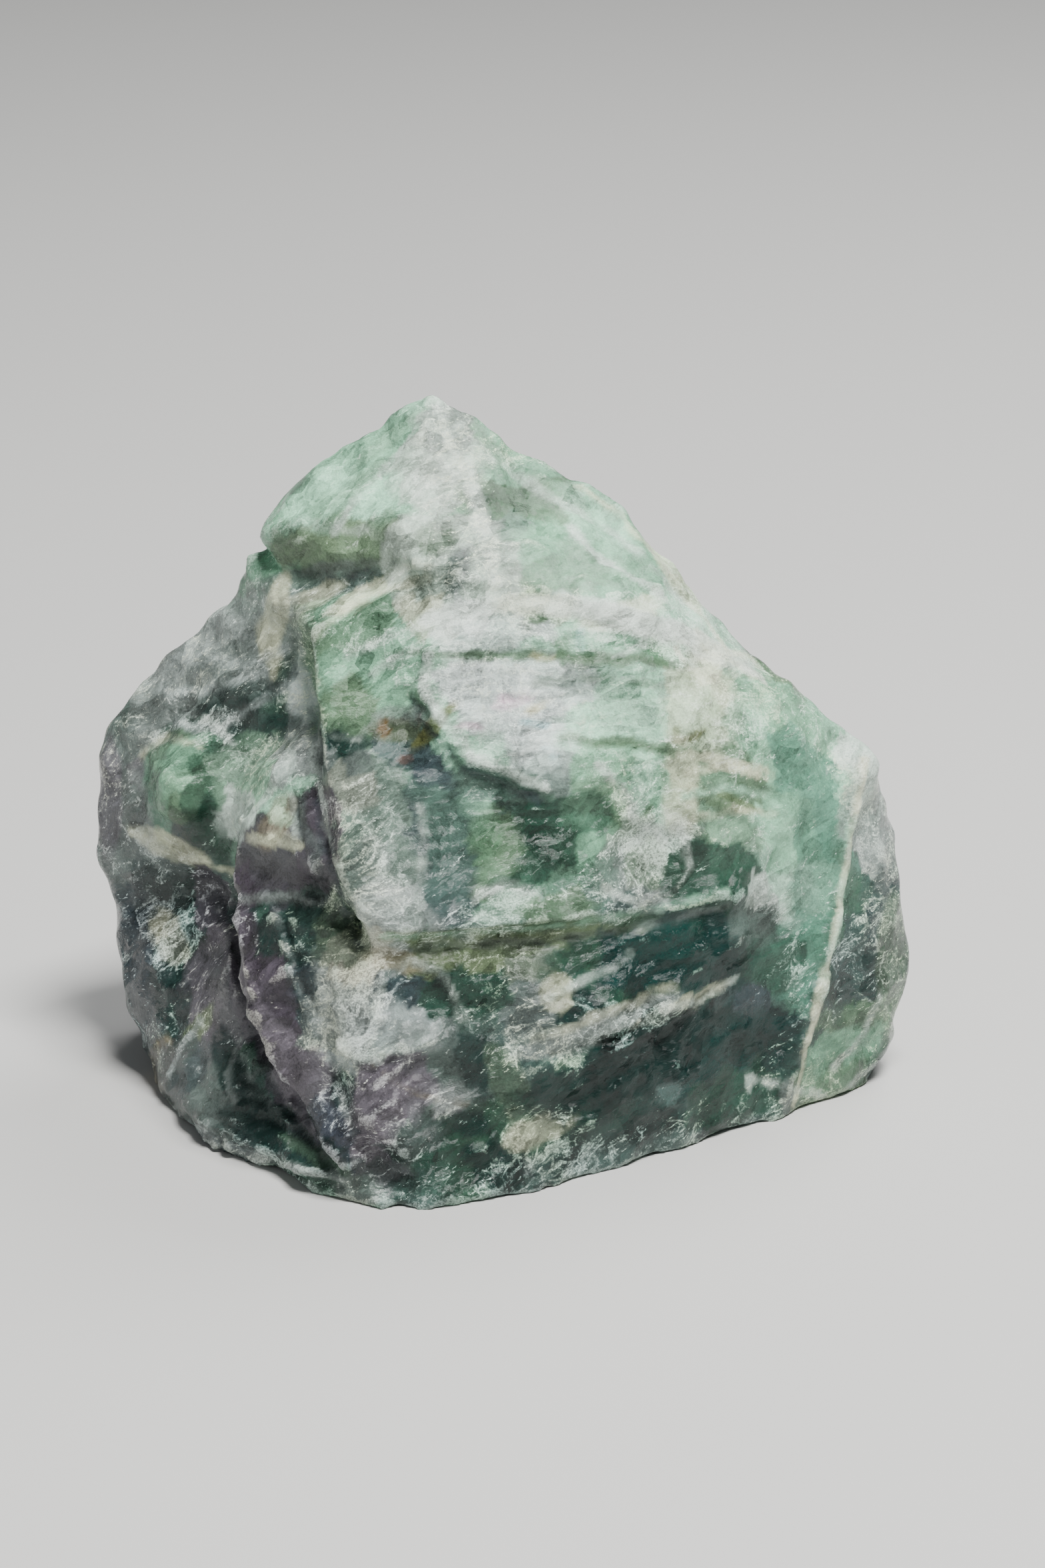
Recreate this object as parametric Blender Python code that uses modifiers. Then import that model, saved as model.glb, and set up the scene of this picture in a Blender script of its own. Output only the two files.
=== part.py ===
"""A rough lump of green and purple fluorite, broken out of its vein and standing on a flat cleavage.

The stone is one solid. Its masses are convex blocks with corners in millimetres, for someone who faces its broad
broken front: x to the right, y to the back, z up from the foot. The blocks are joined, hollowed by chips,
roughened, split into small steps along fluorite's four cleavage directions, and cut level at the foot.
"""

import math

import bmesh
import bpy
import numpy as np
from mathutils import Matrix, Vector, noise

MM = 0.001

# Driving dimensions, in millimetres
FOOT_DEPTH = 5.0
GRAIN = 1.2
SWELL_HEIGHT = 1.2
SWELL_LENGTH = 24.0
CRUMBLE_HEIGHT = 0.15
CRUMBLE_LENGTH = 4.0
SCOOP_DEPTHS = {26.0: 4.2, 11.0: 1.1}
STEP_HEIGHT = 0.9
STEP_SPACING = 8.0
STEP_PATCH = 26.0
STEP_RAGGED = 1.6
STEP_RAGGED_LENGTH = 12.0
STROKE_RAGGED_LENGTH = 7.0
CUT_MERGE = 0.05

# Proportions, angles in degrees, and the number of triangles before the foot is cut
STROKE_RAGGED = 0.8
SCOOP_WARP = 0.25
FRONT_LEAN = 24.0
CLEAVAGE_SPIN = 10.0
TRIANGLES = 9900

# The corners of each mass. Those at height 0 are carried down by FOOT_DEPTH, for the cut.
MASSES = {
    # The heart of the stone and its right end, up to the vein that runs down the right of the front
    "heart": (
        (-13, -55, 0), (8, -45, 0), (28, -29, 0), (48, -13, 0), (62, -2, 0), (64, 20, 0), (50, 46, 0),
        (18, 56, 0), (-20, 54, 0), (-24, -50, 0), (-21, -42, 42), (7, -37, 42), (25, -31, 43),
        (40, -22, 45), (55, -6, 57), (57, -10, 31), (60, -3, 51), (64, 4, 62), (67, 10, 54),
        (68, 7, 40), (72, 7, 22), (70, 6, 13), (66, 8, 4), (70, 26, 24), (62, 34, 44), (51, 6, 70),
        (20, 34, 72), (-24, 36, 70),
    ),
    # Solid stone behind the slabs and the left end
    "core": (
        (-44, -15, 0), (-43, -12, 40), (-38, -9, 64), (-22, -26, 0), (-24, -26, 50), (-40, 14, 0),
        (-42, 14, 74), (-18, 14, 0), (-18, 14, 84), (-22, -10, 76),
    ),
    # The sloping top right, from the fold in the front up to the skyline
    "shoulder": (
        (60, 6, 64), (51, 6, 71), (40, 8, 83.5), (33, 10, 91), (27, 11, 98.5), (20, 12, 106),
        (14, 12, 110), (6, 13, 112.5), (-3, 14, 111), (-15, -11, 101), (-6, -14, 99), (15, -13, 94),
        (30, -8, 90), (41, -5, 81), (20, 34, 84), (-8, 36, 92), (46, 26, 60), (-15, 30, 60),
        (56, -2, 58), (-8, 4, 109),
    ),
    # The summit, whose left side overhangs a notch
    "summit": (
        (1, 14, 114), (-6, 13, 121), (-13, 12, 125.6), (-17, 12, 124.5), (-24, 12, 118),
        (-30, 14, 114), (-35, 15, 109), (-40, 17, 103), (-43, 17, 98), (-40, 8, 99), (-28, -2, 100),
        (-17, -10, 103), (-1, 2, 110), (-6, -12, 100), (-10, 30, 106), (-30, 32, 96), (-36, 24, 92),
        (-15, 2, 94), (-30, 10, 92), (0, 25, 92), (-38, 9, 94.5), (-27, 0, 95), (-19, -6, 97),
    ),
    # The floor of the notch
    "saddle": (
        (-47, 17, 90), (-41, 15, 91), (-30, 7, 92), (-19, -2, 96), (-34, -8, 89), (-26, -9, 93),
        (-30, 34, 90), (-20, 20, 102), (-38, 26, 95), (-20, 20, 60), (-42, 20, 60), (-10, -5, 95),
        (-44, 14, 92),
    ),
    # A knob on the skyline, beside the notch
    "knob": (
        (-47.2, 17, 89), (-46.6, 15, 92), (-44.4, 16, 94.4), (-41, 15, 93), (-42, 20, 94),
        (-44, 22, 90), (-42, 12, 89), (-43, 24, 86), (-39, 20, 88),
    ),
    # The big block that stands out of the front, with its lower edge undercut
    "front": (
        (-21, -45, 45), (7, -40, 45), (25, -33, 45), (40, -23, 46), (-28, -35, 58), (-32, -22, 75),
        (-34, -18, 82), (-34, -12, 90), (-17, -9, 98), (-6, -14, 99), (15, -13, 94), (30, -8, 90),
        (41, -5, 81), (57, -4, 58), (-24, 10, 50), (50, 10, 50), (-30, 10, 84), (35, 10, 86),
        (-26, -30, 47), (-12, 10, 95),
    ),
    # A leaf of that block, left standing over its broken neighbour
    "plate": (
        (-13.6, -21.9, 88.8), (-15.2, -25.4, 82.3), (-11, -30, 78.9), (-7, -31, 73),
        (-0.3, -30.9, 70.9), (6.3, -31.6, 68.3), (15.6, -27.6, 63.6), (30.3, -18.4, 69.8),
        (31.8, -9, 82.2), (15.6, -15, 89), (-3, -18.9, 92.6), (0, -10, 80), (20, -10, 74),
    ),
    # The rounded left end, set back from the front, and the green boss on it
    "left_lobe": (
        (-46, 17, 90), (-48, 18, 86), (-54, 20, 78), (-60, 24, 74), (-64, 25, 68), (-67, 25, 61),
        (-71, 23, 50), (-73, 21, 43), (-72, 18, 36), (-70, 15, 28), (-36, -2, 80), (-43, 9, 86),
        (-47, 8, 75), (-57, 8, 60), (-64, 9, 43), (-50, -2, 42), (-30, -10, 60), (-30, 0, 88),
        (-62, 34, 55), (-66, 30, 30), (-40, 44, 60), (-34, 40, 84), (-30, 20, 28), (-30, -8, 30),
    ),
    "green_boss": (
        (-61, 6, 66), (-52, 1, 66), (-50, -5, 53), (-56, -5, 49), (-63, 0, 49), (-65, 6, 56),
        (-57, -3, 60), (-59, 16, 60), (-48, 12, 56), (-59, 14, 48), (-48, 6, 48),
    ),
    "left_foot": (
        (-70, 15, 28), (-69, 10, 19), (-67, 5, 11), (-64, 1, 5), (-61, -4, 0), (-48, -7, 34),
        (-57, -3, 30), (-49, -14, 20), (-58, -7, 16), (-54, -24, 0), (-62, 28, 0), (-44, 42, 0),
        (-66, 30, 30), (-30, -10, 38), (-30, 30, 30), (-46, -38, 0), (-35, -36, 7), (-30, -30, 20),
    ),
    "lilac_bulge": (
        (-52, -11, 35), (-47, -17, 31), (-45, -21, 21), (-52, -16, 16), (-57, -9, 24), (-50, -4, 36),
        (-44, -8, 20), (-54, -4, 18),
    ),
    # The purple cleavage slabs that stand in steps left of the front block
    "upper_slab": (
        (-34, -14, 71), (-41, -14, 62), (-48, -12, 56), (-48, -15, 44), (-40, -23, 45),
        (-28, -30, 46), (-28, -31, 56), (-37, -20, 60), (-30, -20, 66), (-34, 4, 72), (-45, 4, 56),
        (-45, -2, 43), (-26, -8, 45),
    ),
    "lower_slab": (
        (-48, -18.5, 43), (-44, -29, 29.5), (-38, -39, 16.5), (-28.5, -50, 7.5), (-24, -52.5, 5),
        (-39.5, -27, 44.8), (-36, -35, 33), (-32, -41.5, 24), (-26.5, -48.5, 13), (-44, -4, 43),
        (-38, -10, 20), (-24, -20, 3), (-24, -20, 44),
    ),
    # The stepped blocks right of those slabs, and the whitish lump beside them
    "stepped_blocks": (
        (-39.5, -26.8, 44.6), (-29, -32, 45.4), (-27.5, -42, 26), (-33, -41, 25.2), (-36, -35, 33),
        (-30, -15, 44), (-24, -20, 24), (-20, -20, 45),
    ),
    "pale_lump": (
        (-28.5, -39.5, 38.5), (-20, -44, 37.5), (-17.5, -48, 29), (-20, -49, 24.5), (-29, -46.5, 24),
        (-30.5, -43.5, 29.5), (-22, -20, 40), (-20, -20, 24), (-24, -50.5, 13), (-16, -53.5, 8),
    ),
    # The layered foot at the lower left: a thick leaf over a slightly smaller one
    "foot_slab": (
        (-62, -6, 3.6), (-62, -4, 7), (-54.6, -28, 3.4), (-44.3, -37, 3.1), (-35.6, -44.5, 3.6),
        (-27, -50.5, 4.3), (-60, -6, 11), (-47, -21, 13.5), (-40, -27, 12.5), (-52.5, -25, 6.5),
        (-43, -34, 6.5), (-33, -42, 7.5), (-24, -50.5, 7), (-20, -10, 4), (-20, -10, 12),
    ),
    "foot_leaf": (
        (-59, -6, 0), (-52, -25, 0), (-43, -34.5, 0), (-35, -43, 0), (-27, -50, 0), (-20, -54, 0),
        (-59, -6, 2.6), (-52, -25, 2.4), (-43, -34.5, 2.1), (-35, -43, 2.6), (-27, -50, 3.4),
        (-20, -54, 3.4), (-20, -10, 0), (-20, -10, 3),
    ),
    # The back: a broad cleavage face on the left, and a shelf at the foot
    "back_left": (
        (-61, 27, 0), (-61, 31, 30), (-59, 33, 52), (-46, 37, 77), (-34, 35, 91), (-18, 34, 98),
        (-2, 33, 97), (12, 36, 80), (-32, 52, 0), (-28, 53, 30), (-18, 48, 58), (0, 56, 0),
        (2, 53, 36), (-45, 8, 0), (-45, 8, 78), (0, 0, 0), (0, 0, 90),
    ),
    "back_shelf": (
        (-40, 48, 0), (-36, 46, 34), (-10, 44, 58), (22, 44, 52), (40, 48, 26), (44, 50, 0),
        (10, 58, 0), (8, 57, 22), (-26, 57, 0), (-24, 56, 24), (0, 10, 20), (0, 10, 50),
    ),
}
# The rusty pit under the edge of the plate, as the corners of its cutter
PIT = (
    (-22, -33, 80), (-16, -35, 83), (-8, -37, 77), (-9, -40, 70), (-17, -41, 69), (-24, -37, 73),
    (-18.5, -24.8, 78.5), (-12.5, -26.5, 76.5), (-14, -30, 72.5), (-20, -26.8, 73.5),
)
# Shell-shaped hollows where chips flew off: the middle of the ball that each is a cap of, and its radius
SHELLS = {
    "round_shell": ((29.5, -38.5, 57.5), 14),
    "boss_hollow": ((-66, -13, 34), 17),
    "violet_oval": ((-12, -68, 42), 26),
    "right_hollow": ((58, -55, 28), 38),
    "back_chip": ((34, 74, 66), 38),
    "back_corner": ((-72, 62, 40), 34),
}
# Ridges, and grooves where the height is below 0: a path, half a width and a height
STROKES = {
    "vein": (((63, 2, 59), (60.5, -3, 51), (57.5, -10, 31.5), (53, -14, 13.7), (48.5, -14, 0)), 2.4, 1.3),
    "ragged_band": (((6, -43, 27), (15.6, -38, 30), (25, -32, 30.5), (39, -23, 35)), 3.4, 1.5),
    "ragged_branch": (((12, -40, 20), (20, -36, 25), (31, -28, 29)), 2.2, 0.9),
    "beside_slabs": (((-49, -13, 42), (-46, -24, 29), (-40, -34, 17), (-33, -42, 11)), 2.4, -1.6),
    "beside_front": (((-35, -15, 80), (-34, -25, 67), (-30, -35, 56), (-26, -40, 48)), 2.2, -1.2),
    "under_front": (((-20, -43.5, 43), (7, -38.5, 43), (25, -32, 43.5)), 1.8, -1.4),
    "end_notch": (((66, 14, 9), (72, 3, 13)), 2.6, -2.0),
}
FINISH = {"Base Color": (0.34, 0.47, 0.40, 1.0), "Roughness": 0.32, "Metallic": 0.0}


def clear_scene():
    for obj in list(bpy.data.objects):
        bpy.data.objects.remove(obj)


def new_collection(name):
    made = bpy.data.collections.new(name)
    bpy.context.scene.collection.children.link(made)
    return made


def helper(name, shape, home):
    """An object that is joined into the stone or cut out of it, and isn't shown."""
    mesh = bpy.data.meshes.new(name)
    shape.to_mesh(mesh)
    shape.free()
    made = bpy.data.objects.new(name, mesh)
    made.hide_render = True
    made.display_type = "WIRE"
    home.objects.link(made)
    return made


def convex_mass(name, corners, home):
    """A block whose faces are those of the hull round its corners."""
    shape = bmesh.new()
    for x, y, z in corners:
        shape.verts.new(Vector((x, y, z or -FOOT_DEPTH)) * MM)
    hull = bmesh.ops.convex_hull(shape, input=shape.verts)
    inner = [vert for vert in hull["geom_interior"] if isinstance(vert, bmesh.types.BMVert)]
    bmesh.ops.delete(shape, geom=inner, context="VERTS")
    bmesh.ops.recalc_face_normals(shape, faces=shape.faces)
    return helper(name, shape, home)


def shell_cutter(name, middle, radius, home):
    """A ball that cuts a shell-shaped hollow."""
    shape = bmesh.new()
    bmesh.ops.create_icosphere(shape, subdivisions=4, radius=radius * MM)
    bmesh.ops.translate(shape, verts=shape.verts, vec=Vector(middle) * MM)
    return helper(name, shape, home)


def add_booleans(skin, others, operation):
    for other in others:
        boolean = skin.modifiers.new(other.name, "BOOLEAN")
        boolean.operation = operation
        boolean.solver = "EXACT"
        boolean.object = other


def joined(masses, cutters, home):
    """One closed skin round all the blocks, less the cutters, as an even net of quads."""
    first, *others = masses
    skin = bpy.data.objects.new("skin", first.data.copy())
    home.objects.link(skin)
    add_booleans(skin, others, "UNION")
    add_booleans(skin, cutters, "DIFFERENCE")
    net = skin.modifiers.new("net", "REMESH")
    net.mode = "VOXEL"
    net.voxel_size = GRAIN * MM
    rubbed = skin.modifiers.new("rubbed", "SMOOTH")
    rubbed.factor = 0.5
    rubbed.iterations = 3
    graph = bpy.context.evaluated_depsgraph_get()
    mesh = bpy.data.meshes.new_from_object(skin.evaluated_get(graph))
    bpy.data.objects.remove(skin)
    return mesh


def drop_inner_skins(mesh):
    """The blocks leave a few closed gaps between them, deep inside. The stone is solid, so their skins go."""
    shape = bmesh.new()
    shape.from_mesh(mesh)
    left = set(shape.verts)
    skins = []
    while left:
        front = [left.pop()]
        skin = set(front)
        while front:
            vert = front.pop()
            around = {edge.other_vert(vert) for edge in vert.link_edges} - skin
            skin |= around
            front.extend(around)
        left -= skin
        skins.append(skin)
    skins.sort(key=len)
    for inner in skins[:-1]:
        bmesh.ops.delete(shape, geom=list(inner), context="VERTS")
    shape.to_mesh(mesh)
    shape.free()


def cleavage_normals():
    """Fluorite splits along the four planes of an octahedron. The first of them is the leaning front."""
    lean = math.radians(FRONT_LEAN)
    front = Vector((0, -math.cos(lean), math.sin(lean)))
    beside = Vector((1, 0, 0))
    slant = -front / 3 + beside * math.sqrt(8) / 3
    turns = [Matrix.Rotation(math.radians(CLEAVAGE_SPIN + 120 * turn), 3, front) for turn in range(3)]
    return [front] + [turn @ slant for turn in turns]


def ripple(points, length, shift=0.0):
    """Smooth noise between -1 and 1 at each point, with bumps about as long as length."""
    offset = Vector((shift, shift, shift))
    return np.array([noise.noise(Vector(point) / length + offset) for point in points])


def smooth_step(value, low, high):
    along = np.clip((value - low) / (high - low), 0, 1)
    return along * along * (3 - 2 * along)


def normals_of(mesh):
    found = np.empty(len(mesh.vertices) * 3)
    mesh.vertex_normals.foreach_get("vector", found)
    return found.reshape(-1, 3)


def squared_distance_to_nearest(points, length):
    """To the nearest of a scatter of centres: shell-shaped hollows with sharp rims between them."""
    warp = np.column_stack([ripple(points, length * 0.8, shift) for shift in (11.0, 23.0, 37.0)])
    spread = points / length + SCOOP_WARP * warp
    nearest = [noise.voronoi(Vector(place), distance_metric="DISTANCE_SQUARED")[0][0] for place in spread]
    return np.array(nearest)


def swell(points, normals):
    """Rounds the faces and breaks shell-shaped scoops into them, so that none is a true plane."""
    height = SWELL_HEIGHT * ripple(points, SWELL_LENGTH)
    height += CRUMBLE_HEIGHT * ripple(points, CRUMBLE_LENGTH, 7.0)
    for length, depth in SCOOP_DEPTHS.items():
        rims = squared_distance_to_nearest(points, length)
        height += depth * (rims - rims.mean())
    return points + normals * height[:, None]


def distance_to_path(points, path):
    nearest = np.full(len(points), np.inf)
    for start, end in zip(path, path[1:]):
        start = np.array(start, dtype=float)
        span = np.array(end) - start
        along = np.clip((points - start) @ span / (span @ span), 0, 1)
        away = np.linalg.norm(points - start - along[:, None] * span, axis=1)
        nearest = np.minimum(nearest, away)
    return nearest


def stroke(points, normals):
    """Raises the ridges and presses in the grooves."""
    height = np.zeros(len(points))
    for path, half_width, lift in STROKES.values():
        away = distance_to_path(points, path)
        height += lift * (1 - smooth_step(away / half_width, 0.4, 2.0))
    height *= 1 + STROKE_RAGGED * ripple(points, STROKE_RAGGED_LENGTH, 50.0)
    return points + normals * height[:, None]


def cleave(points, normals):
    """Small straight steps in patches: each cleavage crosses the faces as the teeth of a saw."""
    height = np.zeros(len(points))
    for number, cleavage in enumerate(cleavage_normals()):
        axis = np.array(cleavage)
        crossing = smooth_step(1 - np.abs(normals @ axis), 0.1, 0.4)
        patch = smooth_step(ripple(points, STEP_PATCH, 5.0 * number), 0.1, 0.35)
        ragged = points @ axis + STEP_RAGGED * ripple(points, STEP_RAGGED_LENGTH, 3.0 * number)
        tooth = ragged / STEP_SPACING
        tooth -= np.floor(tooth)
        height += STEP_HEIGHT * crossing * patch * (0.5 - tooth)
    return points + normals * height[:, None]


def break_skin(mesh):
    points = np.empty(len(mesh.vertices) * 3)
    mesh.vertices.foreach_get("co", points)
    points = points.reshape(-1, 3) / MM
    for shaping in (swell, stroke, cleave):
        points = shaping(points, normals_of(mesh))
        mesh.vertices.foreach_set("co", (points * MM).ravel())
        mesh.update()


def few_faced(mesh, home):
    """The same skin with only the faces that its shape needs."""
    fine = bpy.data.objects.new("fine", mesh)
    home.objects.link(fine)
    mesh.calc_loop_triangles()
    fewer = fine.modifiers.new("fewer", "DECIMATE")
    fewer.ratio = TRIANGLES / len(mesh.loop_triangles)
    graph = bpy.context.evaluated_depsgraph_get()
    coarse = bpy.data.meshes.new_from_object(fine.evaluated_get(graph))
    bpy.data.objects.remove(fine)
    return coarse


def cut_level(mesh):
    """Takes off what lies below the foot, and closes the cut with a flat face."""
    shape = bmesh.new()
    shape.from_mesh(mesh)
    everything = shape.verts[:] + shape.edges[:] + shape.faces[:]
    bmesh.ops.bisect_plane(
        shape,
        geom=everything,
        dist=CUT_MERGE * MM,
        plane_co=(0, 0, 0),
        plane_no=(0, 0, 1),
        clear_inner=True,
    )
    rim = [edge for edge in shape.edges if edge.is_boundary]
    bmesh.ops.holes_fill(shape, edges=rim)
    bmesh.ops.triangulate(shape, faces=shape.faces)
    shape.to_mesh(mesh)
    shape.free()


def centre_over_origin(mesh):
    """The origin is the middle of the stone's box, at the foot."""
    places = np.array([vert.co for vert in mesh.vertices])
    middle = (places.min(axis=0) + places.max(axis=0)) / 2
    mesh.transform(Matrix.Translation((-middle[0], -middle[1], 0)))


def fluorite_finish():
    finish = bpy.data.materials.new("fluorite")
    finish.use_nodes = True
    shader = finish.node_tree.nodes["Principled BSDF"]
    for socket, value in FINISH.items():
        shader.inputs[socket].default_value = value
    return finish


def main():
    clear_scene()
    helpers = new_collection("masses")
    stone_home = new_collection("fluorite")
    masses = [convex_mass(name, corners, helpers) for name, corners in MASSES.items()]
    cutters = [shell_cutter(name, middle, radius, helpers) for name, (middle, radius) in SHELLS.items()]
    cutters.append(convex_mass("pit", PIT, helpers))
    bpy.context.view_layer.update()
    mesh = joined(masses, cutters, helpers)
    drop_inner_skins(mesh)
    break_skin(mesh)
    mesh = few_faced(mesh, helpers)
    cut_level(mesh)
    centre_over_origin(mesh)
    mesh.materials.append(fluorite_finish())
    stone = bpy.data.objects.new("rough_fluorite", mesh)
    stone_home.objects.link(stone)


main()
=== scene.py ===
import math

import bpy
import numpy as np
from mathutils import Matrix, Vector, noise
from mathutils.bvhtree import BVHTree


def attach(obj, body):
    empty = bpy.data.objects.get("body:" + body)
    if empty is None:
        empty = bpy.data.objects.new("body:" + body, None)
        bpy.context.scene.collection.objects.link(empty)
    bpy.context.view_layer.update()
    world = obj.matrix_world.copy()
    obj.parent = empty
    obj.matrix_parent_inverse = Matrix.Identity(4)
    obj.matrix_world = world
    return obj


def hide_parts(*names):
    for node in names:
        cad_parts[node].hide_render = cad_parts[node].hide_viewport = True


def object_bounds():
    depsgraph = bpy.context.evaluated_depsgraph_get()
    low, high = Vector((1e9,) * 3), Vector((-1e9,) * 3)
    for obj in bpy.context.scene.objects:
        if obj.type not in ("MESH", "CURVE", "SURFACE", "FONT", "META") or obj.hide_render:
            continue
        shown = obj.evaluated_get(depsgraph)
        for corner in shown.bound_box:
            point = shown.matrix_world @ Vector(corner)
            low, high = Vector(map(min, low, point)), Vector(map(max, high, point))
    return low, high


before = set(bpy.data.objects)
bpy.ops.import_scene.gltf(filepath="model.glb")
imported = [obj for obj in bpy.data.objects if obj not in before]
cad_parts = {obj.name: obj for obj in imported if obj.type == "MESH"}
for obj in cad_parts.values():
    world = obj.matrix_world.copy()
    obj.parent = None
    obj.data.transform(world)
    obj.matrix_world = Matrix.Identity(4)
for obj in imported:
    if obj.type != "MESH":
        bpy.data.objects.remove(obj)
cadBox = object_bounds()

mm = 0.001
deg = math.radians(1)

# Camera, as the photo was taken: places in the photo are in its own pixels, from the top left
view = {
    "elevation": 20.0,
    "distance": 0.9,
    "target": (3.95, -10.55, 60.1),  # millimetres
    "lens": 119.3,
    "sensor": 36.0,
    "nearest": 0.01,
    "photo": (1568, 2352),
}
tilt = view["elevation"] * deg
toViewer = Vector((0, -math.cos(tilt), math.sin(tilt)))
upPicture = Vector((0, math.sin(tilt), math.cos(tilt)))
rightPicture = Vector((1, 0, 0))
photoFocal = view["lens"] / view["sensor"] * view["photo"][1]
eye = Vector(view["target"]) * mm + toViewer * view["distance"]


def deselect():
    for obj in list(bpy.context.selected_objects):
        obj.select_set(False)


def makeActive(obj):
    deselect()
    obj.select_set(True)
    bpy.context.view_layer.objects.active = obj


def applyModifier(obj, name, kind, **settings):
    makeActive(obj)
    modifier = obj.modifiers.new(name, kind)
    for key, value in settings.items():
        setattr(modifier, key, value)
    bpy.ops.object.modifier_apply(modifier=name)


def addCamera():
    deselect()
    bpy.ops.object.camera_add(location=eye, rotation=(math.pi / 2 - tilt, 0, 0))
    camera = bpy.context.object
    camera.name = "camera"
    camera.data.sensor_width = view["sensor"]
    camera.data.lens = view["lens"]
    camera.data.clip_start = view["nearest"]
    bpy.context.scene.camera = camera


addCamera()
print("camera placed")


# Shader maths: a Wire is a node's output, and Shade makes the nodes
class Wire:
    def __init__(self, shade, socket):
        self.shade = shade
        self.socket = socket

    def __add__(self, other):
        return self.shade.math("ADD", self, other)

    __radd__ = __add__

    def __mul__(self, other):
        return self.shade.math("MULTIPLY", self, other)

    __rmul__ = __mul__

    def __sub__(self, other):
        return self.shade.math("SUBTRACT", self, other)

    def __rsub__(self, other):
        return self.shade.math("SUBTRACT", other, self)


class Shade:
    def __init__(self, name):
        self.material = bpy.data.materials.new(name)
        self.material.use_nodes = True
        self.tree = self.material.node_tree
        self.tree.nodes.clear()

    def make(self, kind, settings, inputs):
        node = self.tree.nodes.new(kind)
        for key, value in settings.items():
            setattr(node, key, value)
        for key, value in inputs.items():
            if isinstance(value, Wire):
                self.tree.links.new(value.socket, node.inputs[key])
            else:
                node.inputs[key].default_value = value
        return node

    def out(self, node, name=0):
        return Wire(self, node.outputs[name])

    def math(self, operation, *values):
        inputs = dict(enumerate(values))
        return self.out(self.make("ShaderNodeMath", {"operation": operation}, inputs))

    def vector(self, operation, *values, output="Vector", **named):
        inputs = {**dict(enumerate(values)), **named}
        return self.out(self.make("ShaderNodeVectorMath", {"operation": operation}, inputs), output)

    def attribute(self, name, output="Fac"):
        return self.out(self.make("ShaderNodeAttribute", {"attribute_name": name}, {}), output)

    def noise(self, place, scale, detail, roughness=0.5, output=0):
        inputs = {"Vector": place, "Scale": scale, "Detail": detail, "Roughness": roughness}
        return self.out(self.make("ShaderNodeTexNoise", {}, inputs), output)

    def voronoi(self, place, scale, feature="F1", output="Color"):
        inputs = {"Vector": place, "Scale": scale}
        return self.out(self.make("ShaderNodeTexVoronoi", {"feature": feature}, inputs), output)

    def ramp(self, value, low, high):
        settings = {"interpolation_type": "SMOOTHSTEP"}
        return self.out(self.make("ShaderNodeMapRange", settings, {0: value, 1: low, 2: high}))

    def mix(self, share, first, second):
        inputs = {0: share, 6: first, 7: second}
        return self.out(self.make("ShaderNodeMix", {"data_type": "RGBA"}, inputs), 2)


def colour(tone):
    return (*tone, 1.0)


# Stage: a plain pale floor, a soft box above the front, and fill from both sides
stage = {
    "floorSize": 9.0,
    "floorTone": (0.50, 0.50, 0.49),
    "floorRoughness": 0.7,
    "worldTone": (0.80, 0.83, 0.86),
    "worldStrength": 0.16,
    "lamps": {  # where it stands, its size, its power in watts, its tone
        "key": ((0.25, -0.34, 1.13), (0.45, 0.35), 33.0, (1.0, 0.99, 0.97)),
        "fill": ((-0.95, -0.75, 0.45), (0.6, 0.6), 1.8, (0.95, 0.97, 1.0)),
        "back": ((0.45, 0.60, 0.95), (0.6, 0.5), 9.0, (1.0, 1.0, 1.0)),
    },
    "lampAim": (0.0, -0.01, 0.06),
}


def addFloor():
    deselect()
    bpy.ops.mesh.primitive_plane_add(size=stage["floorSize"], location=(0, 0, 0))
    floor = bpy.context.object
    floor.name = "floor"
    shade = Shade("paleFloor")
    inputs = {"Base Color": colour(stage["floorTone"]), "Roughness": stage["floorRoughness"]}
    shader = shade.make("ShaderNodeBsdfPrincipled", {}, inputs)
    shade.make("ShaderNodeOutputMaterial", {}, {"Surface": shade.out(shader)})
    floor.data.materials.append(shade.material)


def addLamps():
    for name, (place, size, power, tone) in stage["lamps"].items():
        deselect()
        aim = Vector(stage["lampAim"]) - Vector(place)
        turn = aim.to_track_quat("-Z", "Y").to_euler()
        bpy.ops.object.light_add(type="AREA", location=place, rotation=turn)
        lamp = bpy.context.object
        lamp.name = name
        lamp.data.shape = "RECTANGLE"
        lamp.data.size, lamp.data.size_y = size
        lamp.data.energy = power
        lamp.data.color = tone


def setWorld():
    world = bpy.data.worlds.new("studio")
    world.use_nodes = True
    background = world.node_tree.nodes["Background"]
    background.inputs["Color"].default_value = colour(stage["worldTone"])
    background.inputs["Strength"].default_value = stage["worldStrength"]
    bpy.context.scene.world = world


addFloor()
addLamps()
setWorld()
print("stage and light set")


# The stone: the solid made finer, then cut and rubbed as a real lump is. Lengths are in millimetres
skin = {
    "mergeWithin": 0.02,
    "sharpAngle": 34.0,
    "creaseSharp": 0.75,
    "levels": 2,
    "grain": 0.86,  # between points
    "smooth": (0.5, 1),  # share, rounds
    "rubEdge": (0.55, 1.1),  # where a rub fades, in its radius
    "foot": (0.4, 1.4),  # no sculpting this close to the ground
    "swells": {10.0: 1.1, 5.0: 0.95, 2.8: 0.5},  # length and height of waves, flattened into faces
    "swellNormals": 12,  # rounds that rub the normals along which the waves rise
    "flatten": (8, 0.2),  # rounds, and how far the lean of one face may vary
    "holdRounds": 70,  # keeps the large form where it was
    "reliefNormals": 3,  # and the steps and strokes
    "crumble": (1.7, 0.06),  # length, height
    "frontLean": 24.0,
    "cleavageSpin": 10.0,
}

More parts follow.
